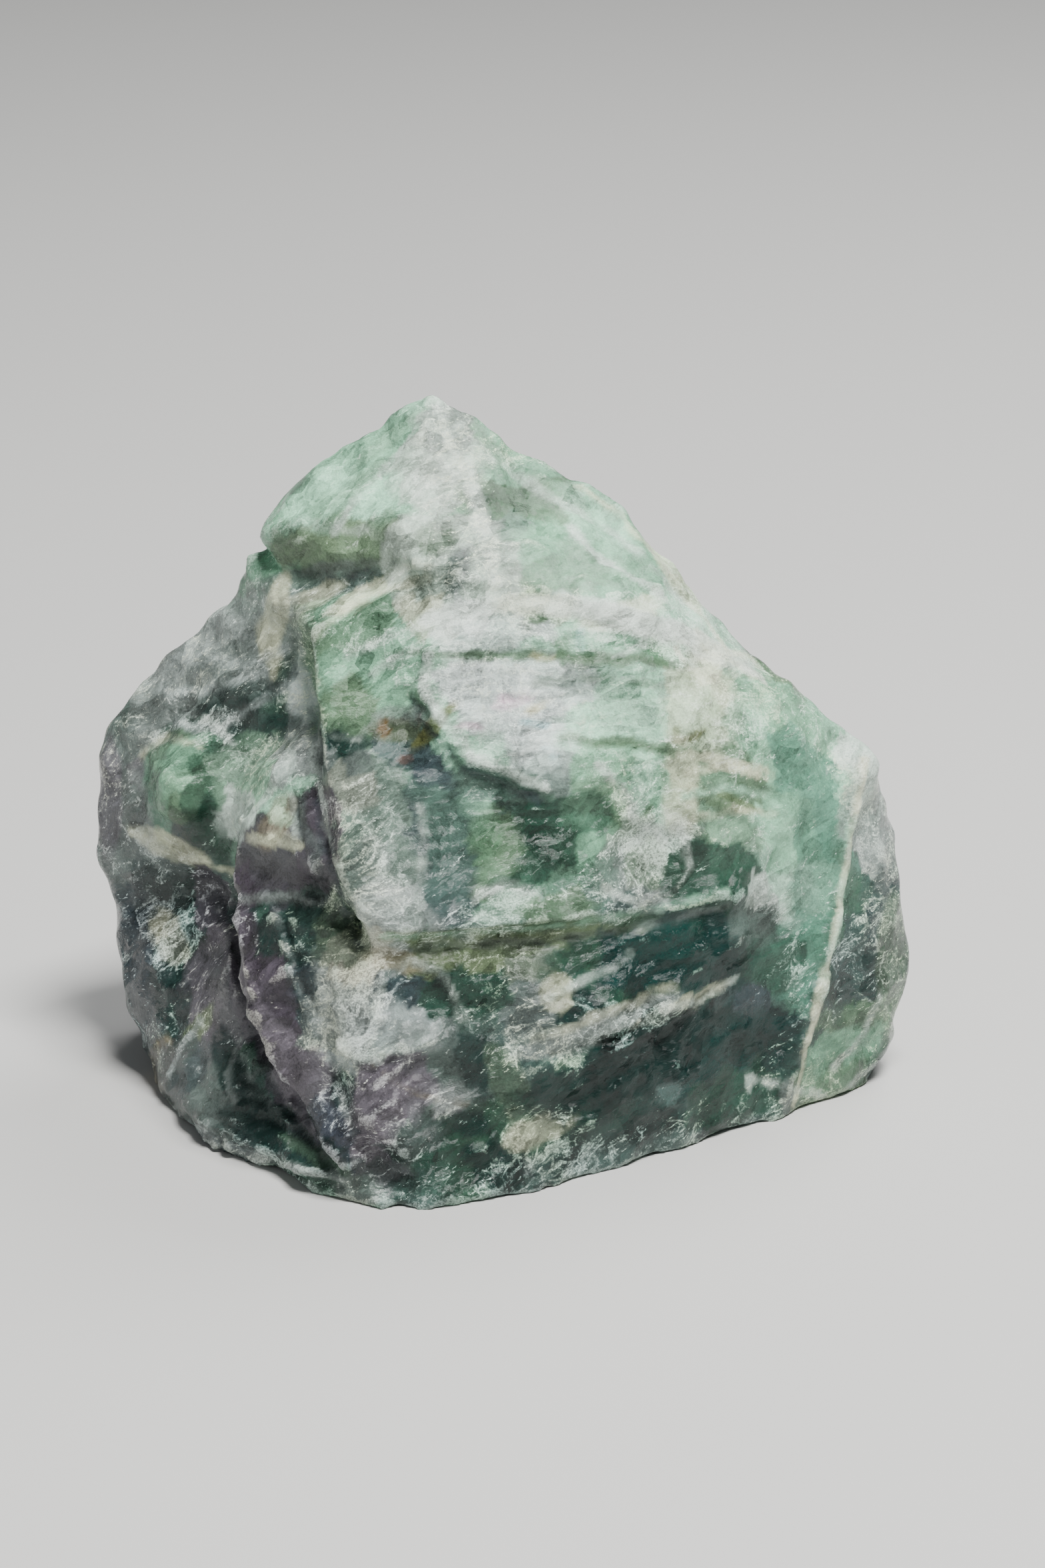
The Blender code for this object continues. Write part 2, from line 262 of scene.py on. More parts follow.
# Where in the noise each pattern is read, some times the number, length or width of what they shape
seeds = {
    "cells": (11.0, 23.0, 37.0),
    "chipRim": 70.0,
    "stepWander": (3.0, 7.0),
    "stepPatch": 40.0,
    "strokeRagged": 60.0,
    "strokeDrift": (3.0, 17.0, 29.0),
    "crumble": 90.0,
    "paintDrift": (1.3, 2.7, 4.1),
    "lineDrift": (6.0, 8.0, 9.0),
    "lineBreak": 50.0,
}


def copyNode(name):
    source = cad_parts[name]
    copied = source.copy()
    copied.data = source.data.copy()
    copied.parent = None
    copied.name = "fluorite_lump"
    bpy.context.scene.collection.objects.link(copied)
    copied.matrix_world = Matrix.Identity(4)
    for key in list(copied.keys()):
        del copied[key]
    return copied


def refine(stone):
    makeActive(stone)
    bpy.ops.object.mode_set(mode="EDIT")
    bpy.ops.mesh.select_mode(type="VERT")
    bpy.ops.mesh.select_all(action="SELECT")
    bpy.ops.mesh.remove_doubles(threshold=skin["mergeWithin"] * mm)
    bpy.ops.mesh.select_all(action="DESELECT")
    bpy.ops.mesh.select_mode(type="EDGE")
    bpy.ops.mesh.edges_select_sharp(sharpness=skin["sharpAngle"] * deg)
    bpy.ops.transform.edge_crease(value=skin["creaseSharp"])
    bpy.ops.mesh.select_all(action="DESELECT")
    bpy.ops.object.mode_set(mode="OBJECT")
    levels = skin["levels"]
    share, rounds = skin["smooth"]
    applyModifier(stone, "finer", "SUBSURF", levels=levels, render_levels=levels, use_creases=True)
    applyModifier(stone, "net", "REMESH", mode="VOXEL", voxel_size=skin["grain"] * mm)
    applyModifier(stone, "rubbed", "SMOOTH", factor=share, iterations=rounds)


def ripple(points, length, shift):
    offset = Vector((shift, shift, shift))
    return np.array([noise.noise(Vector(point) / length + offset) for point in points])


def ripples(points, length, shifts):
    return np.column_stack([ripple(points, length, shift) for shift in shifts])


def smoothStep(value, low, high):
    along = np.clip((value - low) / (high - low), 0, 1)
    return along * along * (3 - 2 * along)


def pointsOf(mesh):
    found = np.empty(len(mesh.vertices) * 3)
    mesh.vertices.foreach_get("co", found)
    return found.reshape(-1, 3) / mm


def normalsOf(mesh):
    found = np.empty(len(mesh.vertices) * 3)
    mesh.vertex_normals.foreach_get("vector", found)
    return found.reshape(-1, 3)


def movePoints(mesh, points):
    mesh.vertices.foreach_set("co", (points * mm).ravel())
    mesh.update()


class Net:  # which points are joined, for rubbing and for finding edges
    def __init__(self, mesh):
        ends = np.empty(len(mesh.edges) * 2, dtype=np.int64)
        mesh.edges.foreach_get("vertices", ends)
        first, second = ends.reshape(-1, 2).T
        self.start = np.concatenate([first, second])
        self.end = np.concatenate([second, first])
        self.count = len(mesh.vertices)
        self.degree = np.maximum(np.bincount(self.start, minlength=self.count), 1)

    def rub(self, values, rounds, share=None, pull=0.5):
        if share is None:
            share = np.ones(self.count)
        rubbed = values.reshape(self.count, -1).copy()
        chosen = np.nonzero(share > 0)[0]
        order = np.full(self.count, -1)
        order[chosen] = np.arange(len(chosen))
        kept = order[self.start] >= 0
        start, end = order[self.start[kept]], self.end[kept]
        weight = (pull * share[chosen] / self.degree[chosen])[:, None]
        for _ in range(rounds):
            sums = [np.bincount(start, column[end], len(chosen)) for column in rubbed.T]
            away = np.column_stack(sums) - self.degree[chosen, None] * rubbed[chosen]
            rubbed[chosen] += weight * away
        return rubbed.reshape(values.shape)

    def summed(self, values):
        return np.column_stack([np.bincount(self.start, column, self.count) for column in values.T])

    # Turns neighbours that face alike into flat faces with crisp edges
    def flatten(self, points, normals, rounds, spread, pull=0.6, shortest=0.1):
        facing = normals.copy()
        for _ in range(rounds):
            apart = ((facing[self.start] - facing[self.end]) ** 2).sum(axis=1)
            alike = np.exp(-apart / spread ** 2)[:, None]
            facing += self.summed(alike * facing[self.end])
            facing /= np.linalg.norm(facing, axis=1)[:, None]
        for _ in range(rounds):
            between = facing[self.start] + facing[self.end]
            between /= np.maximum(np.linalg.norm(between, axis=1), shortest)[:, None]
            rise = ((points[self.end] - points[self.start]) * between).sum(axis=1)[:, None]
            points = points + pull * self.summed(rise * between) / self.degree[:, None]
        return points


class Sight:  # finds where a place in the photo lies on the stone
    def __init__(self, obj):
        self.tree = BVHTree.FromObject(obj, bpy.context.evaluated_depsgraph_get())

    def place(self, photoPlace):
        across = photoPlace[0] - view["photo"][0] / 2
        up = view["photo"][1] / 2 - photoPlace[1]
        ray = (rightPicture * across + upPicture * up - toViewer * photoFocal).normalized()
        hit = self.tree.ray_cast(eye, ray)[0]
        if hit is None:
            hit = self.tree.find_nearest(eye + ray * view["distance"])[0]
        return np.array(hit) / mm


def pictureAxis(angle):
    return np.array(rightPicture * math.cos(angle * deg) + upPicture * math.sin(angle * deg))


# Rubbed and pushed at listed places: middle in the photo, radius, rounds of rubbing, push
rubs = {
    "boss": ((275, 1190), 18, 220, 0.0),
    "bossMiddle": ((262, 1175), 9, 0, 1.4),
    "underBoss": ((262, 1300), 9, 60, -0.8),
    "plateRimHigh": ((640, 1050), 7, 60, 0.0),
    "plateRimLow": ((690, 1140), 9, 90, 0.0),
    "plateRimRight": ((790, 1180), 8, 60, 0.0),
    "bowl": ((975, 1290), 8.5, 20, -0.5),
    "pit": ((612, 1115), 6.5, 10, -1.3),
    "prism": ((425, 1260), 8, 30, 0.0),
    "ovalFacet": ((630, 1500), 7, 30, -0.5),
    "footSlab": ((300, 1640), 13, 30, 0.0),
    "lilacBulge": ((330, 1490), 9, 20, 1.0),
    "darkHollow": ((283, 1440), 6, 20, -0.3),
    "greenWindow": ((527, 1062), 6, 40, 0.0),
    "darkTeal": ((1080, 1440), 11, 30, 0.0),
    "slate": ((1080, 1540), 9, 20, 0.0),
    "lipFace": ((515, 822), 9, 25, 0.0),
    "recess": ((480, 872), 8, 20, -1.0),
    "rightEnd": ((1300, 1500), 8, 10, 0.0),
    "frontCorner": ((562, 1428), 8, 90, 0.9),
    "cornerHollow": ((528, 1392), 7, 60, 0.8),
    "behindShoulder": ((1112, 930), 15, 700, 0.0),
}

# Fine steps: middle in the photo, radius, the way their lines run in the photo, spacing, height
steps = {
    "plate": ((800, 1070), 24, 2, 1.5, 0.45),
    "plateTop": ((820, 930), 18, -3, 2.6, 0.30),
    "fan": ((1105, 1185), 13, -24, 2.4, 0.65),
    "frontFoot": ((760, 1390), 22, 4, 1.9, 0.40),
    "upperSlab": ((425, 1290), 14, -4, 3.6, 0.40),
    "steppedBlocks": ((455, 1440), 13, -3, 3.0, 0.75),
    "lowerSlab": ((420, 1600), 14, 3, 4.4, 0.35),
    "footLayers": ((390, 1745), 18, -17, 2.1, 0.70),
    "tanNet": ((610, 1650), 18, 38, 3.0, 0.55),
    "raggedBand": ((960, 1530), 22, 25, 2.4, 0.60),
    "darkRight": ((1130, 1560), 22, 28, 3.2, 0.35),
    "leftEnd": ((300, 1040), 20, 20, 3.0, 0.45),
    "summit": ((560, 720), 20, 35, 2.8, 0.35),
    "shoulder": ((900, 820), 24, -30, 3.0, 0.35),
    "lump": ((540, 1500), 12, 60, 2.4, 0.45),
}

# Ridges, and grooves where the height is below 0: a path in the photo, half a width, a height
strokes = {
    "vein": (((1296, 1150), (1262, 1330), (1225, 1520), (1180, 1640)), 1.5, 0.6),
    "plateEdge": (
        ((634, 986), (629, 1032), (654, 1073), (705, 1139), (746, 1154), (818, 1185)),
        1.2, 0.8,
    ),
    "plateFoot": (((618, 1042), (643, 1087), (694, 1153), (742, 1170), (812, 1200)), 1.1, -1.0),
    "frontEdge": (
        ((451, 958), (454, 1054), (474, 1105), (480, 1170), (496, 1260), (525, 1343), (562, 1410)),
        1.1, 0.5,
    ),
    "besideFront": (((478, 1190), (486, 1260), (510, 1340), (545, 1425)), 1.2, -0.4),
    "frontFootEdge": (((575, 1412), (700, 1405), (820, 1398), (960, 1375), (1090, 1345)), 1.0, 0.25),
    "underFront": (((575, 1428), (700, 1424), (820, 1416), (960, 1392), (1090, 1362)), 1.1, -0.3),
    "slabEdge": (((352, 1355), (372, 1450), (400, 1560), (441, 1655), (515, 1750)), 1.1, 0.8),
    "besideSlab": (((338, 1360), (358, 1455), (386, 1565), (427, 1662), (500, 1756)), 1.2, -0.4),
    "slabInner": (((408, 1360), (432, 1440), (462, 1530), (490, 1600), (520, 1700)), 0.9, 0.6),
    "slabGroove": (((418, 1356), (443, 1436), (473, 1526), (500, 1594)), 0.8, -0.6),
    "ledge": (((348, 1350), (420, 1345), (495, 1352), (540, 1385)), 1.0, 0.4),
    "underLedge": (((352, 1364), (420, 1359), (492, 1366)), 0.9, -0.6),
    "prismEdge": (((345, 1225), (352, 1290), (352, 1345)), 1.0, 0.7),
    "prismBevel": (((350, 1240), (380, 1215), (425, 1140), (446, 1060)), 0.9, 0.6),
    "prismSplit": (((440, 1185), (447, 1240), (470, 1340)), 0.7, -0.5),
    "bossFoot": (((196, 1252), (240, 1278), (300, 1296)), 1.1, 0.5),
    "underBoss": (((200, 1290), (250, 1306), (300, 1322)), 1.4, -0.7),
    "crease": (((625, 850), (760, 880), (893, 905), (1020, 930), (1170, 1055)), 1.4, 0.7),
    "crack": (((1000, 1128), (1032, 1112), (1062, 1106), (1078, 1116)), 0.6, -0.8),
    "streakLine": (((700, 988), (820, 983), (960, 993), (1040, 1010)), 0.7, -0.6),
    "lowLine": (((865, 1118), (930, 1117), (1000, 1128)), 0.6, -0.6),
    "bowlRim": (((905, 1330), (955, 1352), (1010, 1340), (1035, 1295), (1020, 1240)), 0.8, 0.7),
    "curvedVeil": (((900, 1148), (940, 1185), (958, 1232)), 0.7, 0.6),
    "footLayer": (((290, 1700), (370, 1733), (442, 1752), (515, 1768)), 0.9, 0.8),
    "footGap": (((296, 1712), (370, 1746), (444, 1765), (515, 1782)), 0.9, -1.0),
    "footLeaf": (((305, 1728), (372, 1762), (440, 1792), (510, 1802)), 0.9, 0.7),
    "foldEdge": (((300, 1530), (272, 1570), (255, 1612)), 1.0, 0.7),
    "bandTop": (((820, 1550), (900, 1515), (985, 1490), (1095, 1430)), 1.0, 0.4),
    "bandFoot": (((830, 1582), (930, 1557), (1010, 1522)), 1.1, -0.9),
    "bandSmall": (((815, 1485), (850, 1500), (880, 1512)), 1.0, 0.7),
    "ovalRim": (((562, 1520), (575, 1460), (615, 1437), (665, 1460), (690, 1520)), 0.8, 0.5),
    "lumpCorner": (((503, 1560), (520, 1590), (560, 1592), (600, 1570)), 0.9, 0.7),
    "lumpFoot": (((500, 1576), (520, 1604), (562, 1606), (604, 1584)), 0.9, -0.7),
    "peakRidge": (((644, 592), (640, 640), (600, 700), (560, 780)), 1.2, 0.5),
    "shoulderStep": (((905, 850), (950, 870), (990, 885)), 0.9, 0.5),
}

# Broken chips: most follow the four cleavage planes of fluorite
chips = {
    "count": 420,
    "seed": 7,
    "radius": (3.0, 9.0),
    "depth": (0.2, 0.7),
    "deepest": 1.2,  # in their depth
    "rim": (2.2, 0.5),  # length and share of its wander
    "fade": (0.8, 1.0),  # in its radius
    "facing": 20,  # rounds that rub the normals
    "cleaves": 0.86,  # cosine of how near a cleavage plane a face must lie
    "lean": 0.16,
}


def cleavageAxes():
    lean = skin["frontLean"] * deg
    front = Vector((0, -math.cos(lean), math.sin(lean)))
    slant = -front / 3 + Vector((1, 0, 0)) * math.sqrt(8) / 3
    turns = [Matrix.Rotation((skin["cleavageSpin"] + 120 * turn) * deg, 3, front) for turn in range(3)]
    four = [np.array(front)] + [np.array(turn @ slant) for turn in turns]
    return np.array(four + [-axis for axis in four])


def cutChips(points, normals, net):
    chosen = np.random.default_rng(chips["seed"])
    axes = cleavageAxes()
    broad = net.rub(normals, chips["facing"])
    length, reach = chips["rim"]
    ragged = 1 + reach * ripple(points, length, seeds["chipRim"])
    for _ in range(chips["count"]):
        number = chosen.integers(len(points))
        radius = chosen.uniform(*chips["radius"])
        depth = chosen.uniform(*chips["depth"])
        facing = axes @ broad[number]
        if facing.max() > chips["cleaves"]:
            axis = axes[np.argmax(facing)]
        else:
            axis = broad[number] + chosen.normal(0, chips["lean"], 3)
        axis = axis / np.linalg.norm(axis)
        away = points - points[number]
        distance = np.linalg.norm(away, axis=1) * ragged
        near = np.nonzero(distance < radius)[0]
        proud = away[near] @ axis
        over = proud - (proud.max() - depth)
        hold = 1 - smoothStep(distance[near] / radius, *chips["fade"])
        points[near] -= np.outer(np.clip(over, 0, chips["deepest"] * depth) * hold, axis)
    return points


# How the steps and strokes above rise and break off
relief = {
    "stepRise": 1.1,
    "stepApart": 1.35,
    "stepWander": ((11.0, 1.3), (2.6, 0.5)),  # length, reach
    "stepSlopes": (0.7, 0.3),  # share of a step that climbs slowly, and that drops
    "stepPatch": (6.0, -0.25, 0.15),  # length, where a patch begins and is full
    "stepFade": (0.75, 1.25),  # in its radius
    "pathPart": 25,  # photo pixels
    "leastSpan": 1e-6,  # keeps a path part without length from dividing by nothing
    "strokeRise": 0.8,
    "strokeRagged": (3.0, 1.3),
    "strokeDrift": (4.0, 0.7),
    "strokeReach": 5.0,
    "strokeFade": (0.1, 1.3),  # in its half width
}


def pathOnStone(sight, path):
    laid = []
    for start, end in zip(path, path[1:]):
        count = math.ceil(math.dist(start, end) / relief["pathPart"])
        span = np.array(end) - start
        laid += [sight.place(np.array(start) + span * part / count) for part in range(count)]
    return laid + [sight.place(path[-1])]


def distanceToPath(points, path, reach):
    nearest = np.full(len(points), np.inf)
    inside = np.all((points > np.min(path, 0) - reach) & (points < np.max(path, 0) + reach), 1)
    close = points[inside]
    found = np.full(len(close), np.inf)
    for start, end in zip(path, path[1:]):
        span = end - start
        along = np.clip((close - start) @ span / max(span @ span, relief["leastSpan"]), 0, 1)
        away = np.linalg.norm(close - start - along[:, None] * span, axis=1)
        found = np.minimum(found, away)
    nearest[inside] = found
    return nearest


def stepHeight(points, sight):
    height = np.zeros(len(points))
    climb, drop = relief["stepSlopes"]
    patchLength, *patchEdge = relief["stepPatch"]
    for number, (middle, radius, lineAngle, spacing, rise) in enumerate(steps.values()):
        away = np.linalg.norm(points - sight.place(middle), axis=1)
        close = away < radius * relief["stepFade"][1]
        some = points[close]
        waves = zip(relief["stepWander"], seeds["stepWander"])
        wander = sum(reach * ripple(some, length, seed * number) for (length, reach), seed in waves)
        tooth = (some @ pictureAxis(lineAngle + 90) + wander) / (spacing * relief["stepApart"])
        tooth -= np.floor(tooth)
        tooth = 1 - np.minimum(tooth / climb, (1 - tooth) / drop)
        patchy = smoothStep(ripple(some, patchLength, seeds["stepPatch"] + number), *patchEdge)
        fade = 1 - smoothStep(away[close] / radius, *relief["stepFade"])
        height[close] += relief["stepRise"] * rise * fade * patchy * (0.5 - tooth)
    return height


def strokeHeight(points, sight):
    height = np.zeros(len(points))
    length, reach = relief["strokeRagged"]
    ragged = 1 + reach * ripple(points, length, seeds["strokeRagged"])
    length, reach = relief["strokeDrift"]
    drift = ripples(points, length, seeds["strokeDrift"]) * reach
    for path, halfWidth, lift in strokes.values():
        away = distanceToPath(points + drift, pathOnStone(sight, path), relief["strokeReach"])
        fade = 1 - smoothStep(away / halfWidth, *relief["strokeFade"])
        height += relief["strokeRise"] * lift * ragged * fade
    return height


def rubbedByHand(points, net, sight):
    for middle, radius, rounds, push in rubs.values():
        away = np.linalg.norm(points - sight.place(middle), axis=1) / radius
        inside = 1 - smoothStep(away, *skin["rubEdge"])
        points = net.rub(points, rounds, inside)
        points = points + np.outer(inside * push, np.array(toViewer))
    return points


def sculpt(stone):
    mesh = stone.data
    sight = Sight(stone)
    net = Net(mesh)
    points = rubbedByHand(pointsOf(mesh), net, sight)
    movePoints(mesh, points)
    held = smoothStep(points[:, 2], *skin["foot"])[:, None]
    resting = points.copy()
    points = cutChips(points, normalsOf(mesh), net)
    movePoints(mesh, points)
    height = sum(rise * ripple(points, length, length) for length, rise in skin["swells"].items())
    points = points + net.rub(normalsOf(mesh), skin["swellNormals"]) * height[:, None]
    movePoints(mesh, points)
    points = net.flatten(points, net.rub(normalsOf(mesh), 1), *skin["flatten"])
    moved = points - resting
    points = resting + held * (moved - net.rub(moved, skin["holdRounds"]))
    movePoints(mesh, points)
    length, rise = skin["crumble"]
    height = stepHeight(points, sight) + strokeHeight(points, sight)
    height += rise * ripple(points, length, seeds["crumble"])
    points = points + net.rub(normalsOf(mesh), skin["reliefNormals"]) * height[:, None] * held
    points[:, 2] = np.maximum(points[:, 2], 0)
    movePoints(mesh, points)
    return net


# How far each point stands out of the stone around it: rounds of rubbing, and its reach in millimetres. The
# rim whitens chipped edges; the hollow sets where painted shade darkens the hollows
wearAndShade = {"rim": (14, 0.5), "hollow": (160, 2.2)}


def storeLayer(stone, name, values):
    kind, field = ("FLOAT_VECTOR", "vector") if values.ndim == 2 else ("FLOAT", "value")
    layer = stone.data.attributes.new(name, kind, "POINT")
    layer.data.foreach_set(field, values.ravel())


def measureWearAndShade(stone, net):
    points = pointsOf(stone.data)
    normals = normalsOf(stone.data)
    for name, (rounds, reach) in wearAndShade.items():
        proud = ((points - net.rub(points, rounds)) * normals).sum(axis=1)
        storeLayer(stone, name, np.clip(0.5 + 0.5 * net.rub(proud, 1) / reach, 0, 1))


def keepInside(stone):
    low, high = (np.array(corner) / mm for corner in cadBox)
    movePoints(stone.data, np.clip(pointsOf(stone.data), low, high))


lump = copyNode("rough_fluorite")
refine(lump)
print("stone refined")
net = sculpt(lump)
keepInside(lump)
measureWearAndShade(lump, net)
makeActive(lump)
bpy.ops.object.shade_smooth()
print("stone sculpted:", len(lump.data.polygons), "faces")

# Tones of the crystal, as plain reflectances
tones = {
    "mint": (0.235, 0.50, 0.320),
    "paleMint": (0.41, 0.76, 0.535),
    "green": (0.125, 0.220, 0.130),
    "brightGreen": (0.11, 0.28, 0.145),
    "deepGreen": (0.023, 0.066, 0.044),
    "teal": (0.005, 0.033, 0.028),
    "blackGreen": (0.008, 0.028, 0.024),
    "slate": (0.042, 0.062, 0.070),
    "navy": (0.034, 0.048, 0.066),
    "purple": (0.080, 0.067, 0.086),
    "lilac": (0.165, 0.148, 0.175),
    "grey": (0.155, 0.190, 0.175),
    "sage": (0.135, 0.205, 0.135),
    "olive": (0.17, 0.235, 0.115),
    "oldOlive": (0.12, 0.13, 0.04),
    "cream": (0.78, 0.82, 0.57),
    "tan": (0.36, 0.31, 0.20),
    "rust": (0.19, 0.068, 0.02),
    "silver": (0.55, 0.645, 0.62),
    "milk": (0.63, 0.76, 0.675),
    "pearl": (0.50, 0.60, 0.52),
    "haze": (0.31, 0.36, 0.34),
    "softGreen": (0.21, 0.36, 0.245),
    "rose": (0.80, 0.50, 0.66),
    "aqua": (0.42, 0.76, 0.80),
    "gold": (0.84, 0.78, 0.42),
    "seaGreen": (0.11, 0.29, 0.20),
}

# Colour patches: a place in the photo, reach across and up in millimetres, turn, tone, share
topPatches = {
    "summitOuter": ((495, 705), 20, 8, 40, "mint", 0.6),
    "summitStreaks": ((530, 735), 9, 1.6, 42, "softGreen", 0.6),
    "summitStreaksHigh": ((575, 665), 8, 1.4, 40, "softGreen", 0.45),
    "peakRight": ((715, 660), 13, 2.6, -47, "softGreen", 0.8),
    "peakRidge": ((661, 672), 6, 12, 0, "pearl", 0.8),
    "peakLilac": ((672, 640), 3.6, 5.5, -20, "grey", 0.7),
    "summitMilk": ((635, 710), 6, 7, 0, "pearl", 0.7),
    "lip": ((513, 820), 18, 4.5, 3, "softGreen", 0.85),
    "lipGlow": ((510, 824), 17, 3.8, 3, "olive", 0.6),
    # Painted shade: grey and slate in the recess under the lip
    "recess": ((485, 872), 17, 3.4, 8, "grey", 0.8),
    "recessDeep": ((500, 880), 12, 1.8, 12, "slate", 0.5),
    "recessCream": ((455, 905), 9, 2.0, 25, "cream", 0.45),
    "blockTopEdge": ((560, 882), 10, 1.4, 30, "cream", 0.7),
    "centreMilk": ((672, 846), 14, 10, 0, "pearl", 0.8),
    "centreWindow": ((687, 856), 1.8, 4.5, -12, "slate", 0.7),
    "centreWindowTwo": ((655, 806), 4, 3, 20, "sage", 0.7),
    "centreCream": ((640, 930), 5, 4, 0, "cream", 0.6),
    "shoulderBase": ((880, 800), 18, 12, -38, "mint", 0.75),
    "shoulderDark": ((770, 765), 7, 4.5, 30, "slate", 0.45),
    "shoulderGreen": ((815, 750), 9, 5, 10, "green", 0.8),
    "shoulderGreenLow": ((853, 850), 6, 7, 0, "softGreen", 0.6),
    "shoulderGreenRight": ((925, 872), 7, 3.6, -20, "softGreen", 0.4),
    "shoulderEdge": ((940, 790), 13, 5, -48, "mint", 0.9),
    "creamCrease": ((940, 919), 9, 2.4, 15, "cream", 0.6),
    "slopeBright": ((1055, 945), 8, 10, 50, "paleMint", 0.85),
    "shoulderEdgeCream": ((1012, 862), 9, 1.8, -55, "cream", 0.6),
    "whiteBand": ((1000, 950), 22, 2.6, -18, "milk", 0.85),
    "lavenderMilk": ((728, 945), 11, 5, 0, "silver", 0.75),
    "blockGreenTop": ((525, 945), 9, 4, 33, "green", 0.65),
    "brightSpot": ((1000, 978), 3.6, 4.5, -50, "brightGreen", 0.9),
    "brightSpotLow": ((1015, 1000), 2, 5, 40, "brightGreen", 0.8),
    "brightTongue": ((1085, 1045), 1.6, 4.5, 30, "green", 0.8),
    "creamBeside": ((1058, 985), 4, 5, 0, "cream", 0.6),
    "shoulderMid": ((880, 780), 7, 5, -30, "paleMint", 0.55),
    "summitLeftPale": ((470, 735), 8, 6, 40, "paleMint", 0.4),
}
frontPatches = {
    "leftGreen": ((462, 1000), 4, 10, 0, "sage", 0.7),
    "leftCorner": ((470, 975), 5, 4, 0, "green", 0.5),
    "window": ((527, 1062), 6, 5, -15, "green", 1.0),
    "windowLeft": ((487, 1082), 3, 5, 0, "green", 0.7),
    "darkFacet": ((493, 1133), 4.2, 6.6, -24, "blackGreen", 0.97),
    "darkStrip": ((484, 1175), 1.4, 8, -12, "blackGreen", 0.75),
    "creamLump": ((532, 1180), 4, 4, 0, "cream", 0.8),
    # The plate's silver is partly its own pearly cleavage and partly a painted sheen of the soft box
    # reflecting off it
    "plate": ((765, 1066), 15, 8.0, -25, "silver", 0.9),
    "plateTip": ((808, 1145), 6, 4.5, -30, "silver", 0.85),
    "plateLeft": ((690, 1010), 6, 4, 0, "milk", 0.6),
    "plateRight": ((945, 1065), 13, 8, 0, "paleMint", 0.8),
    "plateRightLow": ((915, 1110), 10, 3, 0, "paleMint", 0.6),
    "creamRight": ((1060, 1065), 8, 10, 0, "cream", 0.5),
    "ringCrack": ((1042, 1104), 2.6, 0.7, 20, "oldOlive", 0.8),
    "ringCrackTwo": ((1016, 1105), 0.7, 2, 0, "oldOlive", 0.6),
    "fan": ((1095, 1172), 12, 5.5, -14, "green", 0.7),
    "fanPale": ((1110, 1150), 9, 1.4, -16, "cream", 0.7),
    "fanPaleLow": ((1085, 1200), 8, 1.6, -18, "olive", 0.7),
    "fanFoot": ((1075, 1240), 9, 4, -26, "green", 0.7),
    "fanCream": ((1020, 1180), 3.4, 9, 0, "cream", 0.6),
    "rightSlope": ((1180, 1100), 9, 12, 40, "mint", 0.8),
    "rightSlopeTeal": ((1215, 1190), 6, 14, 20, "seaGreen", 0.8),
    "underPlate": ((935, 1150), 8, 6, -30, "mint", 0.8),
    "underPlateDark": ((912, 1203), 7, 4.5, -20, "green", 0.7),
    "palePrism": ((965, 1160), 2, 7, -8, "paleMint", 0.7),
    "bowl": ((982, 1298), 10, 9, 0, "grey", 0.6),
    "bowlGreen": ((990, 1290), 6, 5, 0, "sage", 0.6),
    "deepRight": ((1065, 1318), 10, 7, -20, "deepGreen", 0.9),
    "deepRightLow": ((1085, 1350), 9, 3, 8, "deepGreen", 0.75),
    "navyTop": ((735, 1185), 11, 3.6, -18, "slate", 0.75),
    "darkWindow": ((838, 1208), 8, 4.5, -10, "deepGreen", 0.7),
    "darkWindowLow": ((808, 1268), 5.5, 9, -25, "deepGreen", 0.9),
    "darkTongue": ((780, 1230), 4, 8, 50, "deepGreen", 0.5),
    "greenTongue": ((737, 1277), 4.5, 7, -20, "green", 0.75),
    "brightFoot": ((722, 1262), 3, 5, -30, "brightGreen", 0.4),
    "greenFoot": ((833, 1370), 8, 3.6, 6, "green", 0.85),
    "greenFootRight": ((900, 1385), 12, 1.6, 3, "green", 0.6),
    "frostLeft": ((548, 1262), 9, 18, 5, "grey", 0.8),
    "frostGrey": ((555, 1300), 4, 4, 0, "grey", 0.5),
    "frostLilac": ((600, 1372), 12, 4.5, 0, "haze", 0.7),
    "footEdge": ((725, 1404), 31, 1.6, 2, "olive", 0.75),
    "footEdgeShade": ((925, 1424), 11, 1.8, 9, "deepGreen", 0.85),
    "footEdgeDark": ((700, 1415), 26, 0.7, 2, "sage", 0.7),
    "cornerPale": ((560, 1415), 7, 4, -30, "haze", 0.7),
    # Partly the plate's own pearly cleavage and partly a painted sheen of the soft box reflecting off it
    "plateHigh": ((770, 1030), 15, 5.5, 0, "silver", 0.8),
    "pit": ((603, 1120), 7, 5.5, -30, "slate", 0.9),
    "pitOlive": ((650, 1090), 1.6, 6, -42, "oldOlive", 0.85),
    "pitRim": ((610, 1070), 6, 1.6, 0, "haze", 0.5),
    "rustHigh": ((575, 1092), 0.9, 2.0, 8, "rust", 0.75),
    "rustRight": ((634, 1078), 1.3, 0.9, -30, "rust", 0.35),
    "rustLow": ((611, 1137), 1.3, 0.8, 0, "rust", 0.9),
    "rustVeil": ((592, 1095), 4.5, 2.4, 0, "oldOlive", 0.4),
    "plateStreak": ((838, 987), 30, 0.9, -2, "green", 0.75),
    "plateStreakLow": ((940, 1114), 13, 0.9, -5, "green", 0.8),
    "plateDark": ((885, 1017), 6, 2.6, 8, "deepGreen", 0.45),
    "pitSlate": ((640, 1150), 5, 3, -30, "slate", 0.7),
    "navyMottle": ((662, 1268), 6, 16, 10, "slate", 0.8),
    # Painted sheen: a rose rainbow glint on the plate
    "iridescence": ((770, 1055), 4, 1.0, 12, "rose", 0.4),
    "rightSlopeLow": ((1180, 1250), 6, 8, 20, "mint", 0.7),
}
